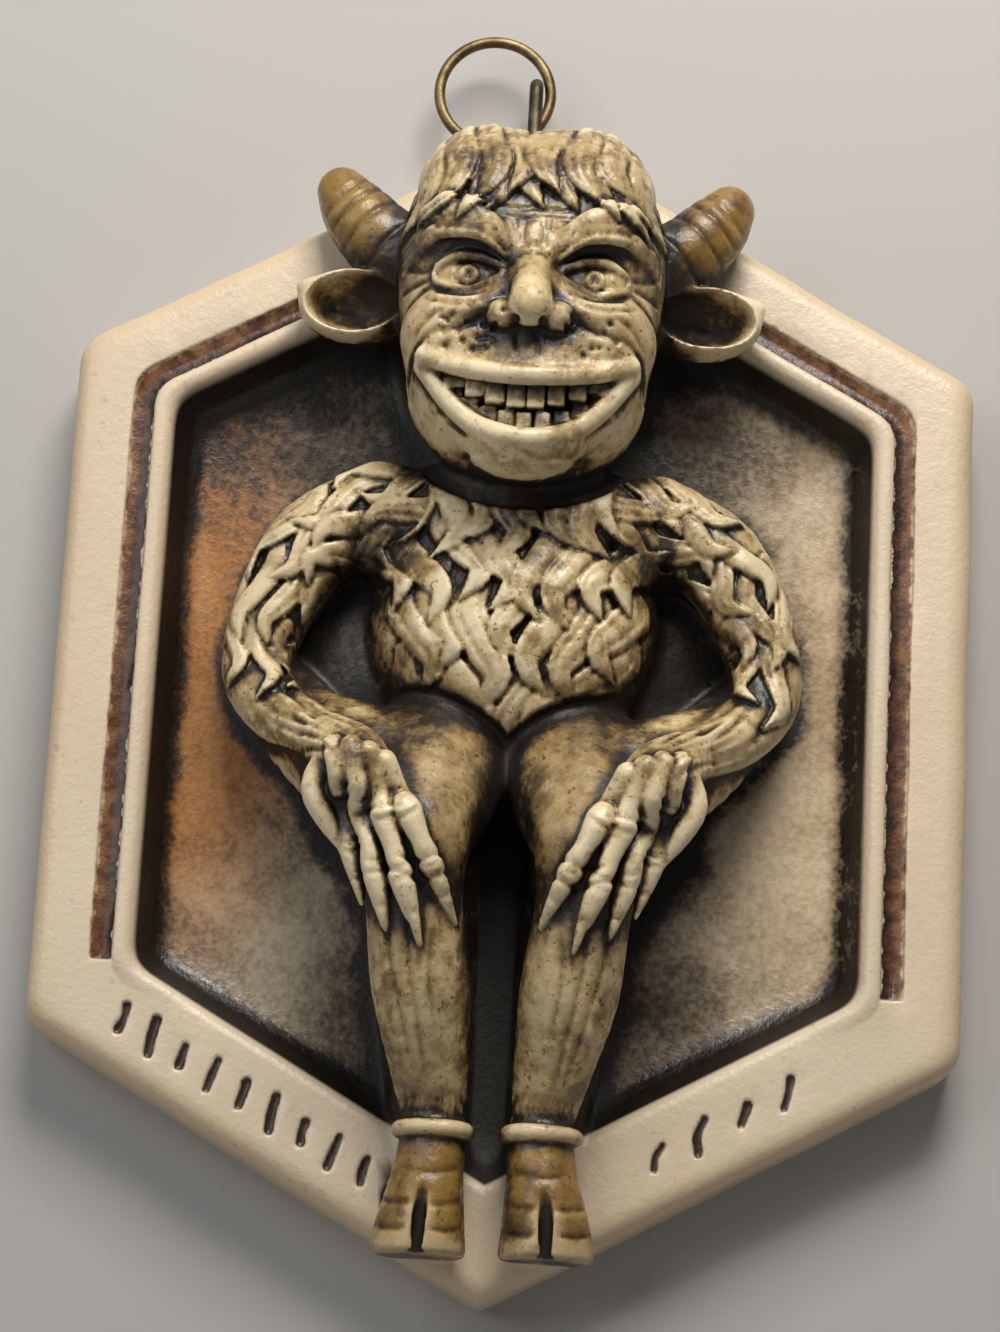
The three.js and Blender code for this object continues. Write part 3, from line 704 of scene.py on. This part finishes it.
# Skin of the clay: one point in every grid cell that the surface crosses, at the mean of the
# crossings on the cell's edges, and one face round every grid edge it crosses.
def drawSkin():
    inside = field < 0
    count = inside[:-1, :-1, :-1].astype(np.int8)
    for i, j, k in np.ndindex(2, 2, 2):
        if i + j + k:
            view = inside[i : i - 1 or None, j : j - 1 or None, k : k - 1 or None]
            count = count + view
    cells = np.argwhere((count > 0) & (count < 8))
    number = np.full(count.shape, -1, np.int32)
    number[tuple(cells.T)] = np.arange(len(cells))
    total = np.zeros((len(cells), 3))
    hits = np.zeros(len(cells))
    for axis in range(3):
        for a, b in np.ndindex(2, 2):
            corner = np.insert([a, b], axis, 0)
            other = np.insert([a, b], axis, 1)
            low = field[tuple((cells + corner).T)]
            high = field[tuple((cells + other).T)]
            crossed = (low < 0) != (high < 0)
            share = np.where(crossed, low / np.where(crossed, low - high, 1), 0)
            point = corner + share[:, None] * (other - corner)
            total += point * crossed[:, None]
            hits += crossed
    points = cells + total / hits[:, None]
    faces = []
    for axis in range(3):
        low = np.moveaxis(inside, axis, 0)[:-1, 1:-1, 1:-1]
        high = np.moveaxis(inside, axis, 0)[1:, 1:-1, 1:-1]
        ring = np.moveaxis(number, axis, 0)
        for start, turned in ((low & ~high, axis == 1), (high & ~low, axis != 1)):
            i, j, k = np.nonzero(start)
            quad = [ring[i, j, k], ring[i, j + 1, k], ring[i, j + 1, k + 1], ring[i, j, k + 1]]
            faces.append(np.stack(quad if turned else quad[::-1], 1))
    return points, np.concatenate(faces)


def sampleGrid(volume, points, low, step):
    # value between grid points, mixed from the eight round it
    place = np.clip((points - low) / step, 0, np.array(volume.shape) - 1.001)
    base = place.astype(int)
    part = place - base
    value = 0
    for corner in np.ndindex(2, 2, 2):
        weight = np.prod(np.where(corner, part, 1 - part), 1)
        value = value + weight * volume[tuple((base + corner).T)]
    return value


def slopeAt(points):
    # how fast the field rises along each axis, from half a step to either side
    nudge = 0.5 * clay["step"]
    parts = []
    for axis in range(3):
        shift = nudge * np.eye(3)[axis]
        ahead = sampleGrid(field, points + shift, clay["low"], clay["step"])
        behind = sampleGrid(field, points - shift, clay["low"], clay["step"])
        parts.append((ahead - behind) / (2 * nudge))
    return np.stack(parts, 1)


settleCorners()
points, faces = drawSkin()
points = points * clay["step"] + clay["low"]
for _ in range(2):
    rise = slopeAt(points)
    step = sampleGrid(field, points, clay["low"], clay["step"])[:, None] * rise
    points -= np.clip(step / np.maximum((rise**2).sum(1), 0.2)[:, None], -0.2, 0.2)
print("skin drawn", len(points), "points")


def meshFrom(name, points, faces):
    # points and faces are handed over as whole arrays
    mesh = bpy.data.meshes.new(name)
    mesh.vertices.add(len(points))
    mesh.vertices.foreach_set("co", np.asarray(points, np.float32).ravel())
    mesh.loops.add(faces.size)
    mesh.loops.foreach_set("vertex_index", faces.astype(np.int32).ravel())
    mesh.polygons.add(len(faces))
    mesh.polygons.foreach_set("loop_start", np.arange(0, faces.size, faces.shape[1], dtype=np.int32))
    mesh.update(calc_edges=True)
    mesh.validate()
    mesh.shade_smooth()
    return mesh


def newPiece(name, mesh, node):
    piece = bpy.data.objects.new(name, mesh)
    bpy.context.scene.collection.objects.link(piece)
    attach(piece, "root")
    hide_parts(node)
    return piece


def cleanBody(mesh):
    # every point takes the least number among its neighbours until none changes; what doesn't end
    # with the commonest number is loose and is deleted
    ends = np.empty(2 * len(mesh.edges), np.int32)
    mesh.edges.foreach_get("vertices", ends)
    a, b = ends.reshape(-1, 2).T
    label = np.arange(len(mesh.vertices))
    while True:
        least = label.copy()
        np.minimum.at(least, a, label[b])
        np.minimum.at(least, b, label[a])
        least = least[least]
        if np.array_equal(least, label):
            break
        label = least
    loose = np.flatnonzero(label != np.bincount(label).argmax())
    body = bmesh.new()
    body.from_mesh(mesh)
    body.verts.ensure_lookup_table()
    bmesh.ops.delete(body, geom=[body.verts[n] for n in loose], context="VERTS")
    body.to_mesh(mesh)
    body.free()


# The skin is thinned where it is flat and kept where it is carved.
casting = {"name": "castPlaque", "triangles": 190000}
dense = bpy.data.objects.new("dense", meshFrom("dense", points * [1, -1, 1] * mm, faces))
bpy.context.scene.collection.objects.link(dense)
thin = dense.modifiers.new("thin", "DECIMATE")
thin.ratio = casting["triangles"] / (2 * len(faces))
graph = bpy.context.evaluated_depsgraph_get()
castMesh = bpy.data.meshes.new_from_object(dense.evaluated_get(graph))
castMesh.name = casting["name"]
bpy.data.objects.remove(dense)
cleanBody(castMesh)
castMesh.shade_smooth()
castPlaque = newPiece(casting["name"], castMesh, "plaque")
print("casting thinned", len(castMesh.polygons), "faces")

# Where the paint and the dark wash lie, as values at the casting's points.
spot = np.empty(len(castMesh.vertices) * 3, np.float32)
castMesh.vertices.foreach_get("co", spot)
spot = spot.reshape(-1, 3) / mm * [1, -1, 1]
outward = slopeAt(spot)
outward /= np.maximum(np.linalg.norm(outward, axis=1), 1e-6)[:, None]


# The wash was wiped with a cloth, which reaches as far down as a ball that rolls over the front:
# the highest place of the ball's centre over each point, then its underside.
def clothHeight(heights, radius):
    reach = int(radius / clay["step"])
    for sign, choose in ((1, np.maximum), (-1, np.minimum)):
        wide = np.pad(heights, reach, mode="edge")
        best = np.full(heights.shape, -99 * sign, np.float32)
        for i, k in np.ndindex(2 * reach + 1, 2 * reach + 1):
            drop = radius**2 - ((i - reach) ** 2 + (k - reach) ** 2) * clay["step"] ** 2
            if drop >= 0:
                part = wide[i : i + heights.shape[0], k : k + heights.shape[1]]
                best = choose(best, part + np.float32(sign * (np.sqrt(drop) - radius)))
        heights = best
    return heights


front = frontMap()


def fromCloth(radius, sign):
    # depth below a cloth laid over the front, or with sign -1 height above one held behind it
    reached = sign * clothHeight(sign * front, radius)[:, None].repeat(2, 1)
    low = np.multiply(clay["low"], [1, 0, 1])
    return sign * (sampleGrid(reached, spot * [1, 0, 1], low, clay["step"]) - spot[:, 1])


# Parts with their share of ochre; grimy places are x, z, reach and share, the same on both sides.
wash = {
    "cloths": (2.4, 4, 9),
    "stained": (("horn", 1), ("hoof", 1), ("shin", 0.35), ("thigh", 0.6), ("arm", 0.3)),
    "chestLight": {"z": 15, "reach": 11, "share": 0.3},
    "jaw": {"z": 25, "halfX": 14, "halfZ": 4, "share": 0.45},
    "grimy": [
        (8.4, 53.5, 6, 0.22), (16.5, 57, 5, 0.35), (4, 65, 8, 0.25), (5.5, 46.5, 4, 0.25), (14, 46, 5, 0.15),
        (17, 18, 6, 0.3), (12, -6, 7, 0.25), (11, -36, 5, 0.12), (9, -57, 5, 0.2), (31, 4, 6, 0.18),
        (20, -12, 5, 0.2),
    ],
}
sx, sh, sz = spot.T
onPlate = 1 - ramp(plateDistance(sx, sh, sz), 0.5, 1.5)
lineDepth, panelDepth, bodyDepth = (fromCloth(radius, 1) for radius in wash["cloths"])
ridge = fromCloth(wash["cloths"][0], -1)
inStroke = np.max([nearPath(sx, sh, sz, path) < 0.35 for path in strokePaths], 0) * ramp(lineDepth, 0.05, 0.2)
ochre = 0.32 * (1 - ramp(eggDistance(sx, sh, sz, figure["skull"]), 3, 5))
for side in (-1, 1):
    for name, share in wash["stained"]:
        gap = nearPath(sx, sh, sz, smoothPath(mirrored(figure[name], side)))
        ochre = np.maximum(ochre, share * (1 - ramp(gap, 0.8, 2.5)))
toothGap = np.min([tileDistance(sx, sh, sz, tooth) for tooth in teeth], 0)
eyeGap = eggDistance(np.abs(sx), sh, sz, (eye["x"], eye["h"], eye["z"], *eye["ball"]))
wiped = 1 - 0.6 * ((np.minimum(toothGap, eyeGap) < 0.25) & (outward[:, 1] > 0.6))
grime = 0
for x, z, reach, share in wash["grimy"]:
    grime = np.maximum(grime, share * np.exp(-((abs(sx) - x) ** 2 + (sz - z) ** 2) / reach**2))
# A painted highlight lightens the middle of the chest.
chestLight, jaw = wash["chestLight"], wash["jaw"]
chestHighlight = chestLight["share"] * np.exp(-(sx**2 + (sz - chestLight["z"]) ** 2) / chestLight["reach"] ** 2)
film = 0.6 * ramp(bodyDepth, -0.2, 3.6) + 0.3 * ramp(bodyDepth, 3, 8) + grime
underJaw = np.exp(-((sx / jaw["halfX"]) ** 2) - ((sz - jaw["z"]) / jaw["halfZ"]) ** 2)
wiped = wiped * (1 - jaw["share"] * underJaw)
marks = {
    "wash": np.clip(wiped * (0.85 * ramp(lineDepth, 0, 0.9) + film), 0, 1),
    # Raised ridges keep little wash and stay pale; the painted chest highlight is added to them.
    "proudAndHighlight": np.clip(ramp(ridge, 0.15, 1) + chestHighlight, 0, 1),
    "depth": ramp(panelDepth, 0.2, 3),
    "plate": onPlate,
    "stroke": inStroke,
    "ochre": ochre,
}
for name, values in marks.items():
    mark = castMesh.attributes.new(name, "FLOAT", "POINT")
    mark.data.foreach_set("value", np.asarray(values, np.float32))
print("wash laid")


# Wire pieces: a round section carried along a path in one upright plane.
def wireMesh(name, path, girth, closed):
    # each ring of points lies round its path point, square to the path
    ahead = np.roll(path, -1, 0) - np.roll(path, 1, 0) if closed else np.gradient(path, axis=0)
    ahead /= np.linalg.norm(ahead, axis=1)[:, None]
    flat = np.argmin(np.ptp(path, axis=0))
    upright = np.eye(3)[flat]
    beside = np.cross(ahead, upright)
    count, sides = len(path), 24
    turn = np.linspace(0, 2 * np.pi, sides, endpoint=False)
    swing = np.cos(turn)[None, :, None] * beside[:, None] + np.sin(turn)[None, :, None] * upright
    rings = path[:, None] + girth * swing
    i, j = np.meshgrid(np.arange(count if closed else count - 1), np.arange(sides), indexing="ij")
    nextI, nextJ = (i + 1) % count, (j + 1) % sides
    quad = [i * sides + j, nextI * sides + j, nextI * sides + nextJ, i * sides + nextJ]
    faces = np.stack(quad, -1).reshape(-1, 4)
    mesh = bpy.data.meshes.new(name)
    first, last = range(sides - 1, -1, -1), range((count - 1) * sides, count * sides)
    ends = [] if closed else [list(first), list(last)]
    mesh.from_pydata((rings.reshape(-1, 3) * mm).tolist(), [], faces.tolist() + ends)
    mesh.shade_smooth()
    return mesh


eyePath = np.column_stack([np.full(len(wirePath), wire["x"]), -wirePath[:, 0], wirePath[:, 1]])
eyeMesh = wireMesh("wireEye", eyePath, wire["girth"], False)
wireEye = newPiece("wireEye", eyeMesh, "screw_eye")
loop = {"x": -6.8, "h": 6, "z": 91.2, "radius": 8.1, "girth": 0.8}
turn = np.linspace(0, 2 * np.pi, 96, endpoint=False)
loopPath = np.column_stack([
    loop["x"] + loop["radius"] * np.cos(turn),
    np.full(96, -loop["h"]),
    loop["z"] + loop["radius"] * np.sin(turn),
])
loopMesh = wireMesh("looseRing", loopPath, loop["girth"], True)
looseRing = newPiece("looseRing", loopMesh, "hanging_ring")
print("wire pieces made")


# Materials. Patchy is cloudy variation between two levels, used on the paint and on the brass.
def makePatchy():
    group = bpy.data.node_groups.new("patchy", "ShaderNodeTree")
    for name, kind, value in (
        ("Vector", "NodeSocketVector", None), ("Scale", "NodeSocketFloat", 100.0),
        ("Low", "NodeSocketFloat", 0.4), ("High", "NodeSocketFloat", 0.6),
    ):
        socket = group.interface.new_socket(name, in_out="INPUT", socket_type=kind)
        if value is not None:
            socket.default_value = value
    group.interface.new_socket("Fac", in_out="OUTPUT", socket_type="NodeSocketFloat")
    enter, leave = group.nodes.new("NodeGroupInput"), group.nodes.new("NodeGroupOutput")
    noise, level = group.nodes.new("ShaderNodeTexNoise"), group.nodes.new("ShaderNodeMapRange")
    noise.inputs["Detail"].default_value = 4
    noise.inputs["Roughness"].default_value = 0.62
    level.interpolation_type = "SMOOTHSTEP"
    group.links.new(enter.outputs["Vector"], noise.inputs["Vector"])
    group.links.new(enter.outputs["Scale"], noise.inputs["Scale"])
    group.links.new(noise.outputs["Fac"], level.inputs["Value"])
    group.links.new(enter.outputs["Low"], level.inputs["From Min"])
    group.links.new(enter.outputs["High"], level.inputs["From Max"])
    group.links.new(level.outputs["Result"], leave.inputs["Fac"])
    return group


patchy = makePatchy()


# One material: each method adds a shader node and hands back its output.
class Paint:
    def __init__(self, name):
        self.material = bpy.data.materials.new(name)
        self.material.use_nodes = True
        self.tree = self.material.node_tree
        self.shader = self.tree.nodes["Principled BSDF"]
        self.coords = self.tree.nodes.new("ShaderNodeTexCoord").outputs["Object"]

    def put(self, value, socket):
        if isinstance(value, bpy.types.NodeSocket):
            self.tree.links.new(value, socket)
        else:
            socket.default_value = (*value, 1) if isinstance(value, tuple) and len(value) == 3 else value

    def mark(self, name):
        node = self.tree.nodes.new("ShaderNodeAttribute")
        node.attribute_name = name
        return node.outputs["Fac"]

    def patch(self, scale, low, high, vector=None):
        node = self.tree.nodes.new("ShaderNodeGroup")
        node.node_tree = patchy
        self.put(vector or self.coords, node.inputs["Vector"])
        for name, value in (("Scale", scale), ("Low", low), ("High", high)):
            self.put(value, node.inputs[name])
        return node.outputs["Fac"]

    def math(self, kind, a, b, clamp=True, third=0.0):
        node = self.tree.nodes.new("ShaderNodeMath")
        node.operation = kind
        node.use_clamp = clamp
        for n, value in enumerate((a, b, third)):
            self.put(value, node.inputs[n])
        return node.outputs[0]

    def times(self, a, b):
        return self.math("MULTIPLY", a, b)

    def timesPlus(self, a, b, base):
        return self.math("MULTIPLY_ADD", a, b, True, base)

    def rest(self, share):
        return self.math("SUBTRACT", 1.0, share)

    def step(self, value, low, high):
        # nothing below one value, one above another, smooth between them
        node = self.tree.nodes.new("ShaderNodeMapRange")
        node.interpolation_type = "SMOOTHSTEP"
        self.put(value, node.inputs["Value"])
        self.put(low, node.inputs["From Min"])
        self.put(high, node.inputs["From Max"])
        return node.outputs["Result"]

    def inset(self):
        # distance inside the plate's outline, height above its back and z, in millimetres
        parts = self.tree.nodes.new("ShaderNodeSeparateXYZ")
        self.put(self.coords, parts.inputs[0])
        x, z = (self.math("ABSOLUTE", parts.outputs[name], 0.0, False) for name in "XZ")
        side = self.math("MULTIPLY_ADD", x, -1000.0, False, plate["width"] / 2)
        middle = plate["height"] / 2 * np.cos(slope)
        slant = self.math("MULTIPLY_ADD", z, -1000.0 * np.cos(slope), False, middle)
        slant = self.math("MULTIPLY_ADD", x, -1000.0 * np.sin(slope), False, slant)
        height = self.math("MULTIPLY", parts.outputs["Y"], -1000.0, False)
        lift = self.math("MULTIPLY", parts.outputs["Z"], 1000.0, False)
        return self.math("SMOOTH_MIN", side, slant, False, 1.5 * plate["cornerBlend"]), height, lift

    def mix(self, share, a, b):
        node = self.tree.nodes.new("ShaderNodeMix")
        node.data_type = "RGBA"
        self.put(share, node.inputs[0])
        self.put(a, node.inputs[6])
        self.put(b, node.inputs[7])
        return node.outputs[2]

    def tones(self, share, stops):
        node = self.tree.nodes.new("ShaderNodeValToRGB")
        for n, (place, colour) in enumerate(stops):
            stop = node.color_ramp.elements[n] if n < 2 else node.color_ramp.elements.new(place)
            stop.position = place
            stop.color = (*colour, 1)
        self.put(share, node.inputs["Fac"])
        return node.outputs["Color"]

    def near(self, centre, size):
        # one at a centre, falling to nothing at an egg-shaped edge round it
        move = self.tree.nodes.new("ShaderNodeMapping")
        move.vector_type = "TEXTURE"
        move.inputs["Location"].default_value = centre
        move.inputs["Scale"].default_value = size
        self.put(self.coords, move.inputs["Vector"])
        ball = self.tree.nodes.new("ShaderNodeTexGradient")
        ball.gradient_type = "SPHERICAL"
        self.put(move.outputs["Vector"], ball.inputs["Vector"])
        return ball.outputs["Fac"]

    def bump(self, height, distance, strength):
        node = self.tree.nodes.new("ShaderNodeBump")
        node.inputs["Distance"].default_value = distance
        node.inputs["Strength"].default_value = strength
        self.put(height, node.inputs["Height"])
        self.put(node.outputs["Normal"], self.shader.inputs["Normal"])


# Rim: two ivories in broad patches, browner towards the outer edge, with dark flecks.
paint = Paint("antiquedPaint")
inset, height, lift = paint.inset()
cloud, speck, grain = paint.patch(130, 0.3, 0.7), paint.patch(520, 0.3, 0.7), paint.patch(1200, 0.35, 0.65)
ivory = paint.mix(paint.patch(16, 0.3, 0.7), (0.6, 0.485, 0.34), (0.64, 0.535, 0.395))
edge = paint.rest(paint.step(inset, 0.5, 4.5))
ivory = paint.mix(paint.times(edge, 0.6), ivory, (0.55, 0.41, 0.24))
fleck = paint.times(paint.patch(650, 0.6, 0.74), cloud)
ivory = paint.mix(paint.times(fleck, 0.55), ivory, (0.3, 0.19, 0.09))

# Figure: the wash, broken up by patches, takes ivory down to black, and ochre parts have browner tones.
# Raised ridges stay paler, and the painted highlight lightens the middle of the chest.
proudAndHighlight = paint.mark("proudAndHighlight")
broken = paint.timesPlus(cloud, 0.45, paint.times(speck, 0.35))
broken = paint.timesPlus(grain, 0.2, broken)
level = paint.times(paint.mark("wash"), paint.math("ADD", broken, 0.5, False))
smear = paint.times(paint.patch(90, 0.36, 0.64), paint.patch(380, 0.36, 0.64))
level = paint.timesPlus(smear, 0.34, paint.timesPlus(broken, 0.1, level))
level = paint.timesPlus(paint.patch(1100, 0.58, 0.72), 0.34, level)
level = paint.timesPlus(proudAndHighlight, -0.2, level)
pale = paint.tones(level, [
    (0, (0.69, 0.58, 0.375)), (0.95, (0.012, 0.009, 0.006)), (0.15, (0.51, 0.395, 0.205)),
    (0.32, (0.29, 0.2, 0.085)), (0.5, (0.13, 0.085, 0.038)), (0.66, (0.04, 0.027, 0.015)),
])
brown = paint.tones(paint.timesPlus(cloud, 0.2, level), [
    (0, (0.3, 0.185, 0.046)), (0.95, (0.012, 0.009, 0.006)), (0.2, (0.21, 0.12, 0.028)),
    (0.42, (0.1, 0.054, 0.015)), (0.64, (0.035, 0.023, 0.012)),
])
stain = paint.times(paint.mark("ochre"), paint.timesPlus(proudAndHighlight, -0.35, 1.0))
stain = paint.math("MAXIMUM", stain, paint.times(paint.patch(48, 0.52, 0.7), 0.5))
figureTone = paint.mix(stain, pale, brown)

# Panel: mottled, darker beside the figure and in the cove with pooled wash and painted shadow, rusty on the
# left and buff on the right.
mottle = paint.timesPlus(paint.patch(75, 0.35, 0.65), 0.3, paint.times(speck, 0.18))
mottle = paint.timesPlus(grain, 0.16, mottle)
gloom = 0.0
for place, size in (
    ((-0.036, -0.006, 0.044), (0.026, 0.03, 0.024)), ((0, -0.006, 0.036), (0.044, 0.04, 0.03)),
    ((0.004, -0.006, -0.05), (0.032, 0.04, 0.046)),
):
    gloom = paint.math("MAXIMUM", gloom, paint.near(place, size))
# The dark band in the cove and beside the figure is both pooled wash and painted shadow.
cove = paint.rest(paint.step(inset, 15.8, 19.5))
panelLevel = paint.timesPlus(paint.math("MAXIMUM", paint.mark("depth"), cove), 0.8, mottle)
panelLevel = paint.timesPlus(gloom, 0.62, panelLevel)
panelTone = paint.tones(panelLevel, [
    (0.1, (0.44, 0.36, 0.255)), (0.98, (0.01, 0.008, 0.005)), (0.35, (0.3, 0.235, 0.155)),
    (0.6, (0.13, 0.095, 0.058)), (0.82, (0.028, 0.02, 0.012)),
])
sienna = paint.times(paint.near((-0.046, -0.006, 0.004), (0.024, 0.03, 0.05)), 2.0)
rust = paint.tones(panelLevel, [
    (0.08, (0.42, 0.2, 0.06)), (0.95, (0.01, 0.007, 0.005)), (0.38, (0.3, 0.125, 0.032)),
    (0.72, (0.06, 0.026, 0.011)),
])
panelTone = paint.mix(sienna, panelTone, rust)
tan = paint.times(paint.near((0.045, -0.006, -0.004), (0.02, 0.03, 0.052)), 1.8)
buff = paint.tones(panelLevel, [
    (0.1, (0.6, 0.48, 0.32)), (0.98, (0.012, 0.009, 0.006)), (0.5, (0.4, 0.29, 0.165)),
])
panelTone = paint.mix(tan, panelTone, buff)

# The rim's ivory covers the plate outside the cove, and its sides.
onPlate = paint.mark("plate")
rimShare = paint.times(onPlate, paint.rest(paint.step(inset, 13.9, 14.5)))
rimShare = paint.math("MAXIMUM", rimShare, paint.rest(paint.step(height, 1.5, 3.0)))
tone = paint.mix(onPlate, figureTone, panelTone)
tone = paint.mix(rimShare, tone, ivory)

# Brown groove with an uneven edge, darkening to near black on its inner side as painted shadow, then the dark
# strokes.
across = paint.math("SUBTRACT", inset, plate["grooveInset"], False)
across = paint.math("MULTIPLY_ADD", speck, 0.5, False, paint.math("SUBTRACT", across, 0.25, False))
trough = paint.times(paint.step(across, -1.75, -1.1), paint.rest(paint.step(across, 1.25, 1.5)))
trough = paint.times(trough, paint.step(lift, plate["grooveEnd"] - 0.2, plate["grooveEnd"] + 0.3))
trough = paint.times(trough, paint.times(onPlate, paint.step(height, 9.0, 9.5)))
# The brown paint runs into painted shadow towards the groove's inner side.
shade = paint.timesPlus(across, 0.3, paint.timesPlus(speck, 0.4, 0.25))
umberAndShadow = paint.tones(shade, [
    (0.05, (0.2, 0.085, 0.03)), (0.85, (0.012, 0.007, 0.005)), (0.4, (0.085, 0.03, 0.011)),
])
tone = paint.mix(trough, tone, umberAndShadow)
tone = paint.mix(paint.mark("stroke"), tone, (0.03, 0.014, 0.009))
paint.put(tone, paint.shader.inputs["Base Color"])
gloss = paint.mix(speck, (0.26, 0.26, 0.26), (0.42, 0.42, 0.42))
gloss = paint.mix(paint.mark("depth"), gloss, (0.62, 0.62, 0.62))
paint.put(paint.mix(rimShare, gloss, (0.36, 0.36, 0.36)), paint.shader.inputs["Roughness"])
paint.bump(paint.math("ADD", speck, grain, False), 0.00014, 0.22)
castMesh.materials.clear()
castMesh.materials.append(paint.material)


def brass(name, dark, light, roughness):
    metal = Paint(name)
    tarnish = metal.patch(350, 0.35, 0.65)
    metal.put(metal.mix(tarnish, dark, light), metal.shader.inputs["Base Color"])
    metal.shader.inputs["Metallic"].default_value = 1
    metal.shader.inputs["Roughness"].default_value = roughness
    metal.bump(metal.patch(1500, 0.3, 0.7), 0.0001, 0.2)
    return metal.material


wireEye.data.materials.append(brass("darkBrass", (0.06, 0.05, 0.032), (0.14, 0.115, 0.075), 0.5))
looseRing.data.materials.append(brass("agedBrass", (0.12, 0.084, 0.04), (0.24, 0.175, 0.09), 0.48))
print("materials made")


# Setting: a pale wall seen from its front only, open behind the plaque, and a pale floor well below.
def sheet(name, corners, faces):
    mesh = bpy.data.meshes.new(name)
    mesh.from_pydata(corners, [], faces)
    obj = bpy.data.objects.new(name, mesh)
    bpy.context.scene.collection.objects.link(obj)
    obj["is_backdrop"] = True
    return obj


def matt(name, tone):
    plain = Paint(name)
    plain.put(tone, plain.shader.inputs["Base Color"])
    plain.shader.inputs["Roughness"].default_value = 0.7
    return plain


setting = {"tone": (0.4, 0.39, 0.375), "floorTone": (0.85, 0.84, 0.82), "wallY": 0.0004, "floorZ": -0.6}
sideX, tipZ = plate["width"] / 2, plate["height"] / 2
sideZ = tipZ - plate["cornerRise"]
corners = [(0, tipZ), (sideX, sideZ), (sideX, -sideZ), (0, -tipZ), (-sideX, -sideZ), (-sideX, sideZ)]
corners = np.array(corners) * mm
rings = np.concatenate([corners * 0.985, corners * 40])
wallFaces = [(n, (n + 1) % 6, (n + 1) % 6 + 6, n + 6) for n in range(6)]
wall = sheet("wall", [(x, setting["wallY"], z) for x, z in rings], wallFaces)
floorCorners = [(x, y, setting["floorZ"]) for x, y in ((-3, -3), (3, -3), (3, 3), (-3, 3))]
floor = sheet("floor", floorCorners, [(0, 1, 2, 3)])
floor.data.materials.append(matt("matt", setting["floorTone"]).material)
oneSided = matt("oneSided", setting["tone"])
clear = oneSided.tree.nodes.new("ShaderNodeBsdfTransparent")
choose = oneSided.tree.nodes.new("ShaderNodeMixShader")
facing = oneSided.tree.nodes.new("ShaderNodeNewGeometry")
oneSided.put(facing.outputs["Backfacing"], choose.inputs[0])
oneSided.put(oneSided.shader.outputs[0], choose.inputs[1])
oneSided.put(clear.outputs[0], choose.inputs[2])
oneSided.put(choose.outputs[0], oneSided.tree.nodes["Material Output"].inputs["Surface"])
wall.data.materials.append(oneSided.material)

world = bpy.data.worlds.new("studio")
bpy.context.scene.world = world
world.use_nodes = True
world.node_tree.nodes["Background"].inputs["Color"].default_value = (0.9, 0.92, 1, 1)
world.node_tree.nodes["Background"].inputs["Strength"].default_value = 0.16


def softLight(name, place, aim, size, power, colour):
    lamp = bpy.data.lights.new(name, "AREA")
    lamp.size = size
    lamp.energy = power
    lamp.color = colour
    obj = bpy.data.objects.new(name, lamp)
    obj.location = place
    back = obj.location - Vector(aim)
    obj.rotation_euler = back.to_track_quat("Z", "Y").to_euler()
    bpy.context.scene.collection.objects.link(obj)


softLight("key", (0.06, -0.36, 0.42), (0, 0, 0.06), 0.26, 3.7, (1, 0.95, 0.88))
softLight("fill", (-0.5, -0.6, 0.22), (0, 0, 0), 0.5, 1.9, (0.96, 0.98, 1))
softLight("back", (0.6, 0.9, 0.5), (0, 0, 0), 0.7, 9, (1, 0.97, 0.93))
bpy.context.scene.view_settings.view_transform = "Standard"

# Camera from the photograph: focal length in pixels of the 1000 by 1332 picture, place in
# millimetres, and the directions of its right, up and view.
photo = {
    "focal": 3600,
    "long": 1332,
    "place": (1.0, -494.8, -118.5),
    "right": (0.99864, -0.00762, 0.05159),
    "up": (-0.05189, -0.24539, 0.96803),
    "view": (-0.00529, 0.96939, 0.24545),
}
camera = bpy.data.objects.new("camera", bpy.data.cameras.new("camera"))
camera.data.sensor_width = 36
camera.data.lens = photo["focal"] / photo["long"] * 36
camera.data.clip_start = 0.01
columns = [photo["right"], photo["up"], tuple(-v for v in photo["view"])]
turned = Matrix(columns).transposed().to_4x4()
turned.translation = [v * mm for v in photo["place"]]
camera.matrix_world = turned
bpy.context.scene.collection.objects.link(camera)
bpy.context.scene.camera = camera

low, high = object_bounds()
print("finished")
